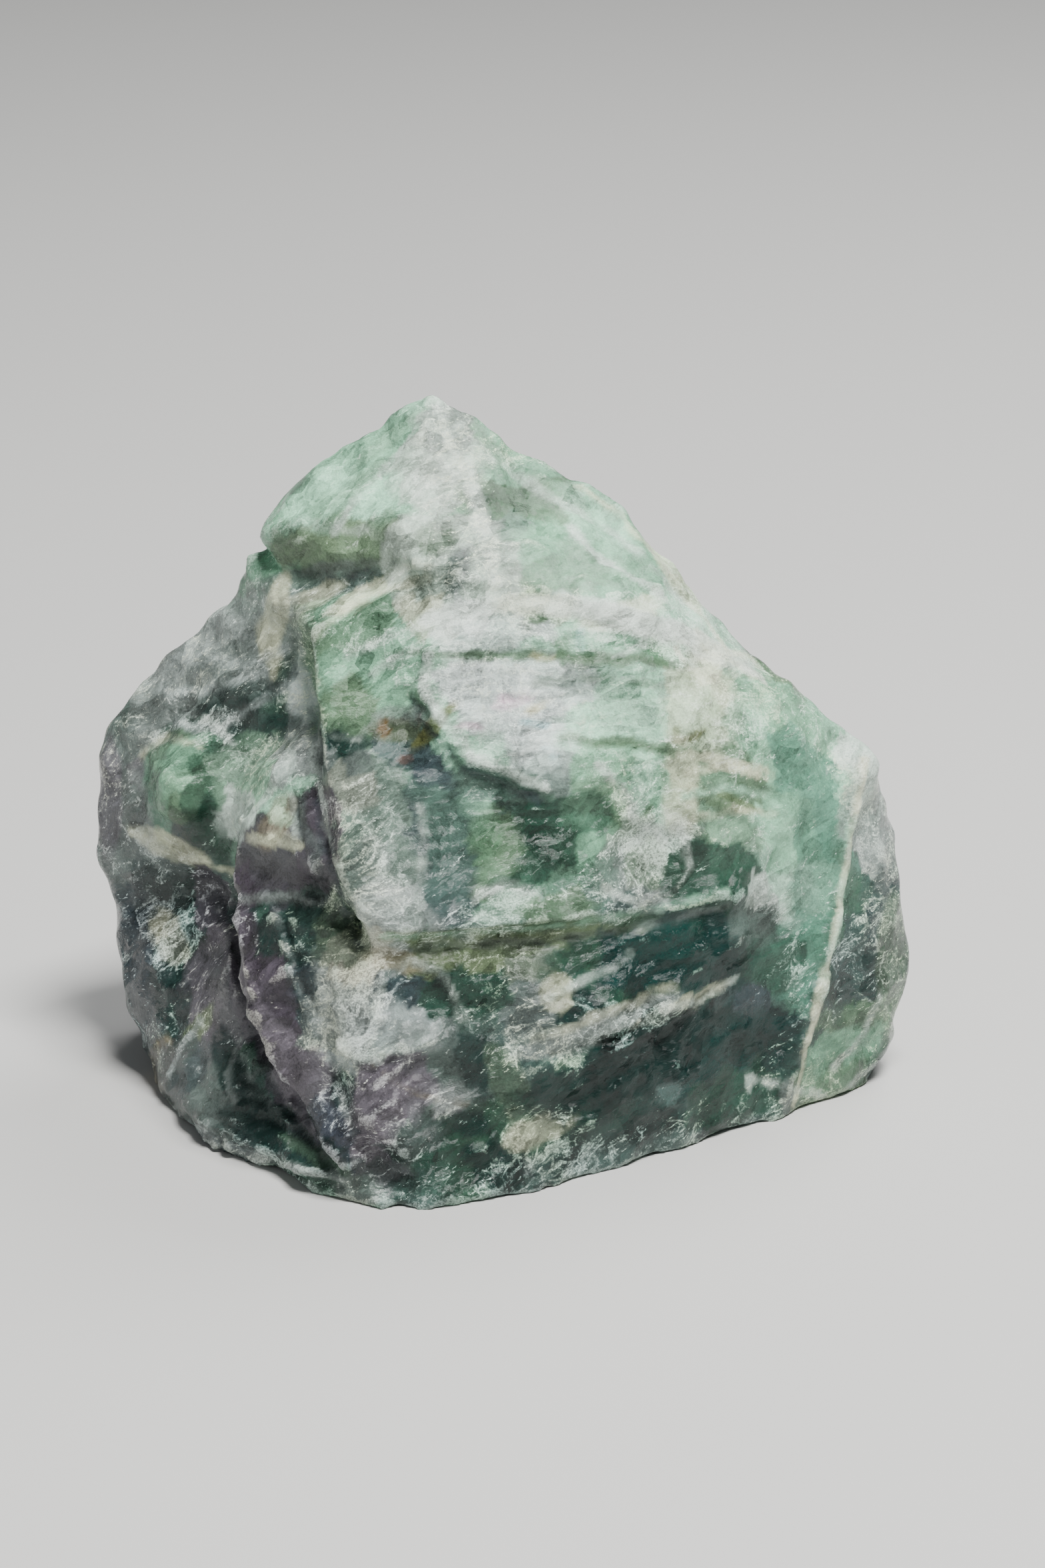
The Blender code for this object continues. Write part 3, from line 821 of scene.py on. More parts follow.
leftPatches = {
    "lobe": ((320, 1050), 20, 16, 10, "haze", 0.85),
    "lobeTop": ((345, 962), 20, 7, 20, "haze", 0.8),
    "lobeTopDark": ((370, 985), 8, 4, 10, "deepGreen", 0.25),
    "lobeRim": ((232, 1000), 9, 4, 50, "grey", 0.8),
    "lobeCreamCrack": ((412, 925), 2.4, 8, -15, "cream", 0.65),
    "lobeCreamLow": ((405, 970), 2, 6, 15, "cream", 0.4),
    "slateHigh": ((262, 1055), 7, 4, 20, "grey", 0.5),
    "slateMiddle": ((352, 1045), 8, 2.6, 15, "blackGreen", 0.6),
    "blackGreen": ((385, 1088), 11, 3.4, 5, "blackGreen", 0.75),
    "blackGreenRight": ((428, 1050), 4, 9, 10, "deepGreen", 0.8),
    "oliveDark": ((285, 1098), 7, 2.6, 0, "deepGreen", 0.75),
    "darkSlope": ((355, 1125), 8, 2.6, 20, "deepGreen", 0.6),
    "bossBright": ((262, 1165), 8, 9, 20, "green", 0.9),
    # Painted light and shade on the boss: mint on its lit upper left, and dark green on its shaded lower
    # right, over the boss's own green
    "bossLight": ((258, 1160), 5, 5, 30, "mint", 0.5),
    "bossTop": ((285, 1128), 6, 3, 20, "mint", 0.8),
    "bossLeft": ((232, 1190), 2.6, 9, 10, "mint", 0.45),
    "bossDark": ((310, 1215), 5, 9, 0, "deepGreen", 0.7),
    "bossBlack": ((324, 1240), 3.0, 7, 10, "deepGreen", 0.9),
    "bossFoot": ((250, 1268), 9, 2.2, -22, "cream", 0.8),
    "bossBeside": ((203, 1215), 3.4, 8, 10, "haze", 0.5),
    "mottled": ((372, 1165), 7, 9, 0, "softGreen", 0.75),
    "leftRim": ((172, 1230), 4.5, 26, -4, "grey", 0.7),
    "leftRimPale": ((165, 1200), 2.4, 12, 0, "lilac", 0.6),
    # Painted shade: grey and black green under the overhanging boss
    "underBoss": ((236, 1316), 10, 7, 0, "grey", 0.5),
    "underBossDark": ((258, 1350), 4, 5, 20, "blackGreen", 0.5),
    "whiteStar": ((252, 1405), 3.0, 6, 30, "cream", 0.5),
    "leftLow": ((205, 1440), 6, 14, 10, "slate", 0.85),
    "leftLowLilac": ((178, 1500), 4, 10, 10, "lilac", 0.55),
    "leftBlack": ((258, 1480), 5, 9, 10, "blackGreen", 0.8),
    "strip": ((458, 1085), 3, 11, 8, "silver", 0.9),
    "stripLow": ((447, 1130), 5, 6, 20, "haze", 0.9),
    "prismUpper": ((480, 1215), 3, 5, 0, "purple", 0.85),
    "prism": ((395, 1290), 10, 8, 0, "purple", 0.95),
    "prismRight": ((475, 1265), 5, 11, 0, "purple", 0.9),
    "prismBevel": ((356, 1228), 4, 4.5, 0, "milk", 0.85),
    "prismCream": ((415, 1232), 2.6, 6, -30, "tan", 0.5),
    "prismLine": ((410, 1262), 6, 0.9, -10, "cream", 0.6),
    "ledge": ((430, 1347), 11, 1.2, 0, "grey", 0.8),
    # Painted shadow: black green in the hollow left of the slab, where the slab's shadow falls
    "darkHollow": ((305, 1405), 5, 13, 10, "blackGreen", 0.8),
    "hollowPurple": ((320, 1370), 4, 8, 10, "purple", 0.7),
}
footPatches = {
    "stripPurple": ((362, 1402), 5, 12, 14, "purple", 0.95),
    "blocks": ((455, 1410), 10, 9, 0, "blackGreen", 0.75),
    "blocksLow": ((468, 1500), 6, 7, 10, "slate", 0.85),
    "blocksFoot": ((494, 1565), 4.5, 5, 0, "grey", 0.85),
    "blocksWhite": ((508, 1590), 5, 1.6, -20, "silver", 0.7),
    "paleLump": ((528, 1490), 7, 11, 0, "haze", 0.85),
    "paleLumpWarm": ((540, 1430), 5, 5, 0, "tan", 0.45),
    "oval": ((625, 1500), 8, 8.5, 0, "navy", 0.68),
    "ovalFoot": ((600, 1550), 8, 4, 0, "silver", 0.5),
    "underBlock": ((735, 1437), 18, 3.6, 3, "olive", 0.8),
    "underBlockLeft": ((590, 1440), 6, 2, -10, "tan", 0.6),
    # Painted shade: dark green in the notch under the front block's lower edge
    "underBlockDark": ((900, 1430), 11, 2.6, 8, "deepGreen", 0.75),
    "cornerSage": ((515, 1400), 5, 6, 20, "sage", 0.6),
    "bandGreen": ((705, 1500), 7, 6, 0, "deepGreen", 0.75),
    "bandPale": ((790, 1500), 4.5, 8, 0, "grey", 0.55),
    "tanNet": ((650, 1620), 14, 9, 25, "grey", 0.75),
    "tanNetDark": ((590, 1640), 7, 5, 30, "purple", 0.8),
    "lilacLow": ((588, 1685), 10, 8, 20, "lilac", 0.75),
    "lilacBlock": ((555, 1725), 7, 6, 0, "lilac", 0.9),
    "purpleSlab": ((405, 1530), 7, 13, 18, "purple", 0.95),
    "purpleSlabLow": ((455, 1640), 7, 12, 25, "lilac", 0.85),
    "purpleEdge": ((500, 1710), 4, 8, 30, "navy", 0.8),
    "slabLilac": ((420, 1590), 3, 10, 20, "lilac", 0.5),
    "bulge": ((328, 1480), 8, 11, 0, "lilac", 0.7),
    "bulgeTip": ((295, 1570), 5, 5, -30, "lilac", 0.55),
    "foldCream": ((282, 1565), 1.6, 9, -35, "olive", 0.7),
    "foldPatch": ((240, 1600), 3, 6, -20, "tan", 0.8),
    "footSlab": ((300, 1640), 14, 9, -15, "grey", 0.75),
    "footSlabSlate": ((262, 1590), 7, 6, 0, "slate", 0.6),
    "footFacet": ((345, 1602), 2.8, 8, 20, "blackGreen", 0.8),
    "footGreen": ((380, 1685), 8, 5, 0, "blackGreen", 0.7),
    "footGreenLow": ((445, 1716), 11, 4.5, -25, "blackGreen", 0.85),
    "footOlive": ((475, 1735), 8, 1.4, -25, "green", 0.3),
    "footLayer": ((370, 1733), 18, 1.1, -22, "silver", 0.7),
    "footUnder": ((370, 1752), 16, 2.2, -22, "slate", 0.85),
    "footLeaf": ((460, 1775), 10, 3, -15, "deepGreen", 0.8),
    "footPale": ((537, 1785), 4, 3, 0, "grey", 0.7),
    "footDark": ((515, 1632), 2.4, 3.4, 0, "blackGreen", 0.8),
    "greenFrost": ((630, 1755), 12, 5, 5, "deepGreen", 0.5),
    "paleStreak": ((682, 1646), 5, 2.2, 32, "haze", 0.7),
    "darkPocket": ((700, 1685), 4.5, 2.6, -10, "blackGreen", 0.85),
    "darkPocketTwo": ((745, 1748), 6, 5, 0, "blackGreen", 0.85),
    "greenPocket": ((640, 1715), 7, 5, 0, "deepGreen", 0.7),
    "darkPocketTop": ((725, 1590), 6, 5, 0, "blackGreen", 0.8),
    "paleFacet": ((770, 1640), 3, 10, 25, "sage", 0.75),
    "creamSpot": ((812, 1695), 7, 2.4, 20, "cream", 0.45),
    "leafDark": ((868, 1440), 9, 4, 25, "deepGreen", 0.85),
    "leafBlack": ((868, 1500), 6, 4, 10, "blackGreen", 0.95),
    "leafGreen": ((935, 1478), 5, 6, 0, "deepGreen", 0.85),
    "teal": ((1030, 1432), 18, 7, 8, "teal", 0.95),
    "tealRight": ((1140, 1440), 10, 9, 0, "teal", 0.8),
    "creamBand": ((900, 1540), 16, 2.4, 20, "haze", 0.6),
    "creamBandRight": ((1025, 1508), 10, 1.4, 24, "cream", 0.7),
    "creamChip": ((835, 1490), 3, 3.4, 0, "cream", 0.45),
    "bandFrost": ((860, 1560), 8, 3, 10, "grey", 0.6),
    "slateBand": ((1060, 1520), 15, 4, 22, "slate", 0.6),
    "slateRight": ((1160, 1515), 8, 7, 10, "slate", 0.8),
    "blackMiddle": ((1000, 1570), 17, 7, 18, "blackGreen", 0.95),
    "blackLow": ((905, 1620), 17, 7, 18, "blackGreen", 0.95),
    "blackFoot": ((930, 1700), 15, 4, 15, "blackGreen", 0.8),
    "tealLow": ((1105, 1590), 13, 9, 20, "teal", 0.85),
    "greenLow": ((1125, 1645), 12, 6, 12, "deepGreen", 0.85),
    "veinFoot": ((1188, 1650), 2.2, 4.5, 10, "haze", 0.5),
    "whitePatch": ((1160, 1362), 10, 6, 30, "milk", 0.75),
    "whitePatchLow": ((1195, 1330), 6, 6, 40, "paleMint", 0.6),
    "footMidDark": ((715, 1610), 9, 7, 20, "blackGreen", 0.4),
    "tealFar": ((1110, 1395), 9, 4, 0, "teal", 0.8),
    "lumpDarkLow": ((700, 1500), 7, 6, 0, "deepGreen", 0.7),
}
rightPatches = {
    "beforeVein": ((1225, 1290), 5, 14, -8, "seaGreen", 0.6),
    "beforeVeinLow": ((1195, 1430), 6, 10, -10, "seaGreen", 0.75),
    "endMauve": ((1312, 1220), 6, 12, 0, "haze", 0.7),
    "endMilk": ((1300, 1130), 5, 5, 0, "milk", 0.7),
    "endSlate": ((1290, 1440), 5, 10, 0, "slate", 0.65),
    "endMint": ((1340, 1450), 3.4, 14, 0, "sage", 0.6),
    "endGreen": ((1290, 1535), 8, 4, 10, "green", 0.85),
    "endMintLow": ((1262, 1590), 8, 5, 30, "mint", 0.75),
    "endGreenLow": ((1245, 1640), 8, 5, 20, "green", 0.8),
    "beforeVeinDark": ((1170, 1440), 6, 6, -10, "deepGreen", 0.7),
}
patches = {**topPatches, **frontPatches, **leftPatches, **footPatches, **rightPatches}

# Where the white cracks gather (above 0) or stay away: a place, reach across and up, turn, amount
frost = {
    "centre": ((676, 850), 14, 10, 0, 0.06),
    "summitLeft": ((510, 720), 17, 10, 40, -0.35),
    "lip": ((513, 820), 18, 4.5, 3, -0.35),
    "recess": ((488, 872), 16, 4, 8, -0.10),
    "shoulder": ((870, 800), 16, 12, -30, -0.65),
    "shoulderSide": ((930, 800), 9, 6, -45, -0.15),
    "band": ((985, 948), 26, 3, -18, 0.4),
    "slopeBright": ((1055, 945), 8, 10, 50, 0.1),
    "creamCrease": ((940, 919), 9, 2.4, 15, 0.4),
    "slopeHigh": ((1058, 945), 8, 5, -30, 0.15),
    "lavender": ((728, 945), 12, 6, 0, 0.1),
    "blockTop": ((560, 985), 10, 6, 20, 0.14),
    "plate": ((730, 1060), 17, 10, 0, 0.05),
    "plateTip": ((808, 1145), 8, 7, -30, 0.05),
    "plateRight": ((945, 1065), 12, 9, 0, -0.2),
    "window": ((527, 1062), 9, 8, -10, -1.0),
    "darkFacet": ((494, 1135), 5, 7, -24, -1.1),
    "pit": ((605, 1120), 9, 7, 0, -1.1),
    "frostLeft": ((565, 1265), 12, 19, 5, 0.05),
    "lilacFoot": ((600, 1375), 15, 6, 0, 0.10),
    "navyMottle": ((662, 1268), 8, 17, 10, -0.4),
    "navyTop": ((735, 1190), 11, 4, -18, -0.06),
    "deepWindow": ((812, 1245), 11, 12, -25, -0.7),
    "spotOne": ((767, 1320), 6, 4, 20, 0.40),
    "spotTwo": ((828, 1338), 5, 2.4, 0, 0.40),
    "spotThree": ((728, 1368), 9, 4, 10, 0.34),
    "spotFour": ((968, 1248), 8, 5, 10, 0.42),
    "bowl": ((985, 1300), 8, 7, 0, 0.04),
    "deepRight": ((1065, 1320), 9, 7, -10, -0.45),
    "fan": ((1095, 1190), 13, 9, -20, -0.15),
    "creamRight": ((1055, 1080), 8, 12, 0, 0.05),
    "rightSlope": ((1180, 1100), 10, 12, 40, 0.04),
    "whitePatch": ((1165, 1360), 11, 8, 30, 0.15),
    "teal": ((1045, 1435), 19, 8, 8, -0.9),
    "notchDark": ((900, 1425), 9, 3.4, 8, -0.9),
    "darkWindows": ((868, 1470), 9, 8, 0, -0.3),
    "creamBand": ((905, 1540), 18, 3.4, 20, 0.25),
    "bandRight": ((1025, 1508), 12, 2.4, 24, 0.30),
    "slate": ((1085, 1535), 14, 6, 20, -0.3),
    "blackMiddle": ((1010, 1590), 22, 10, 18, -0.35),
    "blackLow": ((905, 1640), 16, 8, 18, -0.3),
    "tealLow": ((1120, 1610), 13, 9, 15, -0.30),
    "oval": ((625, 1500), 8, 9, 0, -0.35),
    "paleLump": ((530, 1490), 7, 11, 0, 0.35),
    "lumpFoot": ((570, 1580), 12, 3, 5, 0.10),
    "tanNet": ((640, 1620), 15, 9, 25, -0.12),
    "creamSpot": ((812, 1695), 8, 3.4, 20, 0.35),
    "greenFrost": ((630, 1755), 12, 5, 5, -0.25),
    "paleStreak": ((682, 1646), 5, 2.6, 32, 0.35),
    "purple": ((415, 1285), 12, 10, 0, -0.9),
    "purpleSlab": ((405, 1540), 7, 15, 20, -0.40),
    "purpleSlabLow": ((460, 1650), 7, 12, 25, -0.14),
    "blocks": ((460, 1430), 9, 10, 0, -0.25),
    "star": ((338, 1090), 4, 3.4, 30, 0.36),
    "mottled": ((372, 1170), 6, 9, 0, 0.1),
    "boss": ((258, 1175), 11, 11, 0, -0.45),
    "bossFoot": ((255, 1270), 9, 2.4, -22, 0.42),
    "bossDark": ((315, 1230), 6, 9, 0, -0.3),
    "leftCalm": ((250, 1250), 22, 60, 0, -0.15),
    "bandMiddle": ((745, 1480), 7, 6, 0, -0.25),
    "underBlockDark": ((900, 1430), 12, 3, 8, -0.4),
    "whiteStar": ((252, 1405), 4.5, 6, 30, 0.34),
    "bulge": ((325, 1490), 8, 12, 0, -0.10),
    "footSlab": ((320, 1650), 15, 10, -15, -0.35),
    "footGreen": ((440, 1700), 14, 6, -25, -0.4),
    "footLayer": ((370, 1733), 18, 1.6, -22, 0.30),
    "endMilk": ((1300, 1160), 6, 9, 0, 0.15),
    "endLow": ((1280, 1560), 9, 12, 0, -0.15),
    "vein": ((1235, 1450), 3, 26, -12, -0.15),
    "greenFoot": ((840, 1370), 9, 4, 6, -0.35),
    "footMid": ((720, 1650), 16, 12, 0, -0.3),
    "rightTeal": ((1215, 1250), 9, 22, 5, -0.3),
    "greenTop": ((525, 945), 10, 5, 33, -0.2),
    "endMauve": ((1312, 1220), 7, 12, 0, 0.1),
}

# Painted lines: a path in the photo, half a width, tone, share, frost
lines = {
    "frontEdge": (
        ((451, 958), (454, 1054), (472, 1105), (478, 1170), (494, 1260), (523, 1343), (560, 1405)),
        1.1, "milk", 0.45, 0.10,
    ),
    # Painted shadow: a dark slate line beside the front block's left edge, where its shadow falls
    "besideFront": (((476, 1200), (486, 1260), (510, 1340), (540, 1425)), 1.0, "slate", 0.6, -0.3),
    "frontFoot": (
        ((575, 1406), (700, 1398), (820, 1391), (960, 1368), (1090, 1340)),
        0.9, "paleMint", 0.5, 0.0,
    ),
    "underFront": (
        ((575, 1424), (700, 1419), (820, 1412), (960, 1388), (1090, 1358)),
        0.9, "haze", 0.3, -0.2,
    ),
    "blockTop": (((470, 950), (520, 915), (580, 885), (640, 870)), 1.2, "cream", 0.6, 0.10),
    # Painted shade: a dark slate line along the lip's underside
    "lipEdge": (((440, 850), (500, 862), (560, 858), (600, 846)), 0.9, "slate", 0.4, -0.2),
    "lipTop": (((440, 785), (500, 790), (560, 800), (605, 830)), 1.0, "milk", 0.5, 0.15),
    "plateEdge": (
        ((640, 985), (634, 1032), (658, 1070), (708, 1135), (748, 1152), (818, 1182)),
        1.2, "milk", 0.8, 0.25,
    ),
    "plateFoot": (
        ((618, 1046), (641, 1088), (692, 1152), (740, 1170), (806, 1200)),
        1.0, "slate", 0.7, -0.4,
    ),
    "plateTop": (((700, 985), (820, 981), (930, 986), (1010, 996)), 1.0, "green", 0.8, -0.5),
    "plateMiddle": (((800, 1025), (870, 1015), (940, 1022), (1000, 1030)), 0.9, "sage", 0.6, -0.3),
    "plateLow": (((870, 1116), (940, 1116), (1010, 1130)), 0.9, "green", 0.8, -0.5),
    "bandHigh": (
        ((760, 905), (860, 915), (960, 940), (1060, 965), (1130, 1010)),
        1.5, "cream", 0.6, 0.25,
    ),
    "bandLow": (((900, 985), (1000, 960), (1080, 990)), 0.9, "milk", 0.5, 0.15),
    "shoulderRim": (
        ((690, 640), (740, 690), (800, 730), (880, 775), (960, 830), (1020, 900)),
        1.3, "milk", 0.5, 0.10,
    ),
    "vein": (
        ((1298, 1140), (1286, 1220), (1265, 1330), (1247, 1430), (1225, 1520), (1204, 1600), (1192, 1655)),
        0.95, "cream", 0.95, -0.05,
    ),
    "endEdge": (((1345, 1260), (1372, 1360), (1376, 1470), (1350, 1540)), 1.4, "paleMint", 0.6, 0.05),
    "endStreak": (((1250, 1600), (1290, 1560), (1320, 1500)), 1.0, "milk", 0.7, 0.3),
    "endStreakTwo": (((1210, 1660), (1260, 1640), (1310, 1600)), 1.0, "milk", 0.6, 0.3),
    "bandTop": (((800, 1560), (870, 1535), (950, 1505), (1010, 1480)), 1.0, "cream", 0.45, 0.2),
    "bandRight": (((1000, 1515), (1050, 1500), (1100, 1470)), 0.9, "milk", 0.55, 0.25),
    "bandLeaf": (((800, 1500), (850, 1485), (900, 1460), (950, 1430)), 0.8, "milk", 0.45, 0.2),
    "slabEdge": (
        ((345, 1355), (368, 1450), (396, 1560), (437, 1655), (510, 1750)),
        1.1, "lilac", 0.6, 0.05,
    ),
    # Painted shadow: a dark line beside the slab's left edge, where the slab casts its shadow
    "besideSlab": (
        ((330, 1360), (352, 1455), (382, 1565), (423, 1662), (496, 1758)),
        1.0, "blackGreen", 0.3, -0.2,
    ),
    "slabInner": (
        ((412, 1370), (438, 1450), (468, 1530), (500, 1600), (530, 1700)),
        0.8, "haze", 0.35, 0.1,
    ),
    "ledge": (((345, 1350), (420, 1344), (495, 1352), (545, 1385)), 0.8, "haze", 0.5, 0.1),
    "underLedge": (((350, 1366), (420, 1360), (492, 1368)), 0.9, "blackGreen", 0.6, -0.3),
    "prismTop": (((352, 1222), (385, 1215), (430, 1150), (452, 1070)), 1.0, "milk", 0.6, 0.1),
    "prismSplit": (((438, 1190), (443, 1250), (440, 1268)), 0.8, "milk", 0.5, 0.1),
    "prismCrease": (((380, 1262), (420, 1252), (450, 1268)), 0.9, "cream", 0.6, 0.1),
    "bossTop": (((215, 1130), (250, 1105), (300, 1120)), 1.0, "cream", 0.5, 0.1),
    "bossFoot": (((196, 1250), (240, 1272), (300, 1292), (350, 1310)), 0.8, "cream", 0.6, 0.15),
    "lobeVeilHigh": (((250, 990), (310, 985), (370, 1000), (430, 970)), 1.3, "silver", 0.6, 0.1),
    "lobeVeil": (((240, 1035), (300, 1040), (350, 1020), (400, 1010)), 1.1, "silver", 0.6, 0.1),
    "lobeVeilLow": (((262, 1085), (330, 1095), (380, 1060), (430, 1025)), 1.0, "silver", 0.7, 0.15),
    "starRay": (((305, 1078), (335, 1095), (350, 1115)), 0.9, "milk", 0.7, 0.2),
    "lobeCrack": (((412, 880), (418, 930), (408, 975), (412, 1010)), 1.1, "cream", 0.6, 0.0),
    "lobeDark": (((300, 1065), (350, 1058), (400, 1045), (440, 1010)), 1.4, "blackGreen", 0.6, -0.2),
    "lobeDarkLow": (((320, 1120), (380, 1085), (440, 1085)), 2.0, "blackGreen", 0.7, -0.3),
    "lumpEdge": (
        ((500, 1455), (512, 1520), (520, 1585), (560, 1592), (600, 1572)),
        0.8, "milk", 0.4, 0.15,
    ),
    "ovalEdge": (
        ((565, 1530), (575, 1470), (612, 1437), (660, 1455), (695, 1530)),
        0.9, "milk", 0.5, 0.15,
    ),
    "netThree": (((560, 1600), (620, 1640), (700, 1655)), 0.6, "tan", 0.3, 0.1),
    "footLayer": (((290, 1702), (370, 1735), (442, 1754), (515, 1770)), 1.0, "haze", 0.7, 0.1),
    "fold": (((300, 1530), (272, 1570), (250, 1612)), 0.9, "silver", 0.6, 0.1),
    "footFacetEdge": (((360, 1560), (340, 1610), (350, 1650)), 0.8, "haze", 0.6, 0.0),
    "bowlRim": (
        ((905, 1330), (955, 1352), (1010, 1340), (1035, 1295), (1020, 1240)),
        0.9, "milk", 0.5, 0.1,
    ),
    "curvedVeil": (((900, 1148), (940, 1185), (958, 1232), (1000, 1260)), 1.0, "milk", 0.6, 0.15),
    "fanTop": (((1030, 1160), (1090, 1145), (1150, 1155)), 0.9, "cream", 0.7, 0.1),
    "fanMiddle": (((1030, 1195), (1090, 1180), (1150, 1190)), 0.8, "paleMint", 0.7, 0.1),
    "fanLow": (((1040, 1228), (1100, 1215), (1160, 1220)), 0.8, "cream", 0.6, 0.1),
    "windowEdge": (((500, 1100), (540, 1108), (570, 1080)), 0.8, "milk", 0.5, 0.1),
    "frontVeil": (((560, 1010), (600, 985), (640, 975)), 1.0, "milk", 0.5, 0.2),
    "frontVeilTwo": (((520, 985), (570, 960), (620, 945)), 1.0, "milk", 0.5, 0.2),
    "mottleVeilTwo": (((715, 1345), (760, 1325), (800, 1340)), 1.0, "milk", 0.6, 0.25),
    "crease": (
        ((640, 930), (760, 905), (870, 912), (970, 940), (1060, 962), (1140, 1015)),
        1.6, "milk", 0.9, 0.5,
    ),
    # Painted sheen: small rainbow glints on the plate's cleavage
    "iridescentHigh": (((800, 985), (828, 988)), 0.9, "gold", 0.35, -0.2),
    "iridescentRose": (((752, 1048), (790, 1040)), 0.9, "rose", 0.55, -0.2),
    "iridescentAqua": (((788, 1085), (815, 1088)), 0.9, "aqua", 0.7, -0.2),
    "iridescentGold": (((795, 1066), (825, 1052)), 0.8, "gold", 0.6, -0.2),
    "iridescentLow": (((820, 1120), (838, 1150)), 0.8, "aqua", 0.35, -0.1),
    "iridescentLeft": (((690, 1092), (715, 1090)), 0.8, "rose", 0.5, -0.1),
    "iridescentTop": (((870, 945), (872, 968)), 0.8, "aqua", 0.45, -0.1),
    "mottleVeilLeft": (((628, 1210), (640, 1250), (630, 1300)), 0.9, "milk", 0.5, 0.2),
    "deepLine": (((785, 1225), (815, 1270), (820, 1300)), 2.6, "deepGreen", 0.8, -0.4),
    "shoulderStreak": (((861, 793), (893, 833), (990, 889)), 1.0, "milk", 0.8, 0.4),
    "centreStreak": (((701, 696), (716, 760), (733, 825), (745, 870)), 1.6, "milk", 0.8, 0.3),
    "peakStreak": (((655, 600), (668, 640), (690, 690)), 1.2, "milk", 0.6, 0.3),
    "summitStreak": (((500, 800), (540, 740), (590, 690), (620, 650)), 0.9, "milk", 0.5, 0.3),
    "shoulderRimLow": (
        ((873, 712), (940, 760), (997, 817), (1060, 900), (1138, 1000)),
        1.0, "cream", 0.6, 0.2,
    ),
}

# Where the grain runs level and not rising to the right: a place, reach across and up, turn, share
levelGrain = {
    "plate": ((800, 1050), 30, 16, 0, 1.0),
    "frontFoot": ((760, 1400), 36, 5, 3, 1.0),
    "ledge": ((430, 1350), 12, 6, 0, 1.0),
    "blocks": ((460, 1440), 11, 14, 0, 0.8),
    "footLayer": ((380, 1750), 20, 5, -18, 0.8),
    "lip": ((500, 830), 20, 9, 4, 0.8),
}

# How the paint spreads from its patches and lines, in millimetres
paint = {
    "patchDepth": (15.0, 0.5),  # into the stone, and how much more for each of a wide patch
    "patchEdge": (-1.08, -0.84),
    "drift": ((16.0, 2.2), (4.5, 0.8)),  # length and reach of the wandering edges
    "angular": ((6.0, 0.45), (2.6, 0.6)),  # length of the cells that break the edges, and how much
    "cellWarp": (0.8, 0.18),
    "smallPatch": 3.5,  # narrower patches keep their shape
    "lineDrift": (3.5, 0.7),
    "lineReach": 6.0,
    "lineEdge": (0.5, 1.25),  # in its half width
    "lineBreak": (3.5, -0.35, 0.25),
    "lineHold": 0.45,  # fainter lines break off more
}

# Zones that run all round the stone: length, place in the noise, where one begins and is full
zones = {
    "pale": (30.0, 5.0, -0.2, 0.3),
    "green": (14.0, 9.0, 0.05, 0.35),
    "slate": (18.0, 31.0, -0.15, 0.2),
    "deepGreen": (18.0, 31.0, 0.2, -0.15),
    "lilac": (15.0, 47.0, -0.1, 0.3),
}

# The dark foot and the mauve left side: how much the edge wanders, where it begins and is full, its share
sides = {
    "foot": (12, (62.0, 40.0), 0.9),
    "left": (10, (-38.0, -58.0), 0.8),
}


def cellOffsets(points, length):
    stretch, reach = paint["cellWarp"]
    spread = points / length + reach * ripples(points, length * stretch, seeds["cells"])
    middles = [noise.voronoi(Vector(place), distance_metric="DISTANCE_SQUARED")[1][0] for place in spread]
    return (spread - np.array(middles)) * length


def patchShare(points, sight, row):
    middle, across, up, turn = row[:4]
    axes = np.array([pictureAxis(turn), pictureAxis(turn + 90), toViewer])
    depth, deeper = paint["patchDepth"]
    local = (points - sight.place(middle)) @ axes.T / (across, up, depth + deeper * max(across, up))
    return smoothStep(-np.linalg.norm(local, axis=1), *paint["patchEdge"])


def mixed(share, first, second):
    return first + share[:, None] * (np.array(second) - first)


def zoneShare(points, name):
    length, shift, low, high = zones[name]
    return smoothStep(ripple(points, length, shift), low, high)


def sideShare(heights, wander, name):
    reach, edge, share = sides[name]
    return smoothStep(heights + reach * wander, *edge) * share


def groundTone(points, wandering, slight, sight):
    length, shift, low, high = zones["pale"]
    wander = ripple(wandering, length, shift)
    bare = np.zeros_like(points)
    tone = mixed(smoothStep(wander, low, high), bare + tones["mint"], tones["paleMint"])
    tone = mixed(zoneShare(wandering, "green"), tone, tones["green"])
    footTone = mixed(zoneShare(wandering, "slate"), bare, tones["slate"])
    footTone += mixed(zoneShare(wandering, "deepGreen"), bare, tones["deepGreen"])
    tone = mixed(sideShare(points[:, 2], wander, "foot"), tone, footTone)
    mauve = mixed(zoneShare(wandering, "lilac"), bare + tones["slate"], tones["lilac"])
    tone = mixed(sideShare(points[:, 0], wander, "left"), tone, mauve)
    for row in patches.values():
        spread = slight if min(row[1:3]) < paint["smallPatch"] else wandering
        tone = mixed(patchShare(spread, sight, row) * row[5], tone, tones[row[4]])
    return tone


def summed(rows, points, sight):
    return sum(patchShare(points, sight, row) * row[4] for row in rows.values())


def paintLines(points, sight, tone, frosted):
    breakLength, *breakEdge = paint["lineBreak"]
    for path, halfWidth, toneName, share, frostAdded in lines.values():
        away = distanceToPath(points, pathOnStone(sight, path), paint["lineReach"])
        inside = 1 - smoothStep(away / halfWidth, *paint["lineEdge"])
        near = inside > 0
        broken = smoothStep(ripple(points[near], breakLength, halfWidth * seeds["lineBreak"]), *breakEdge)
        hold = max(share, paint["lineHold"]) ** 2
        inside[near] *= hold + (1 - hold) * broken
        tone = mixed(inside * share, tone, tones[toneName])
        frosted = frosted + inside * frostAdded
    return tone, frosted


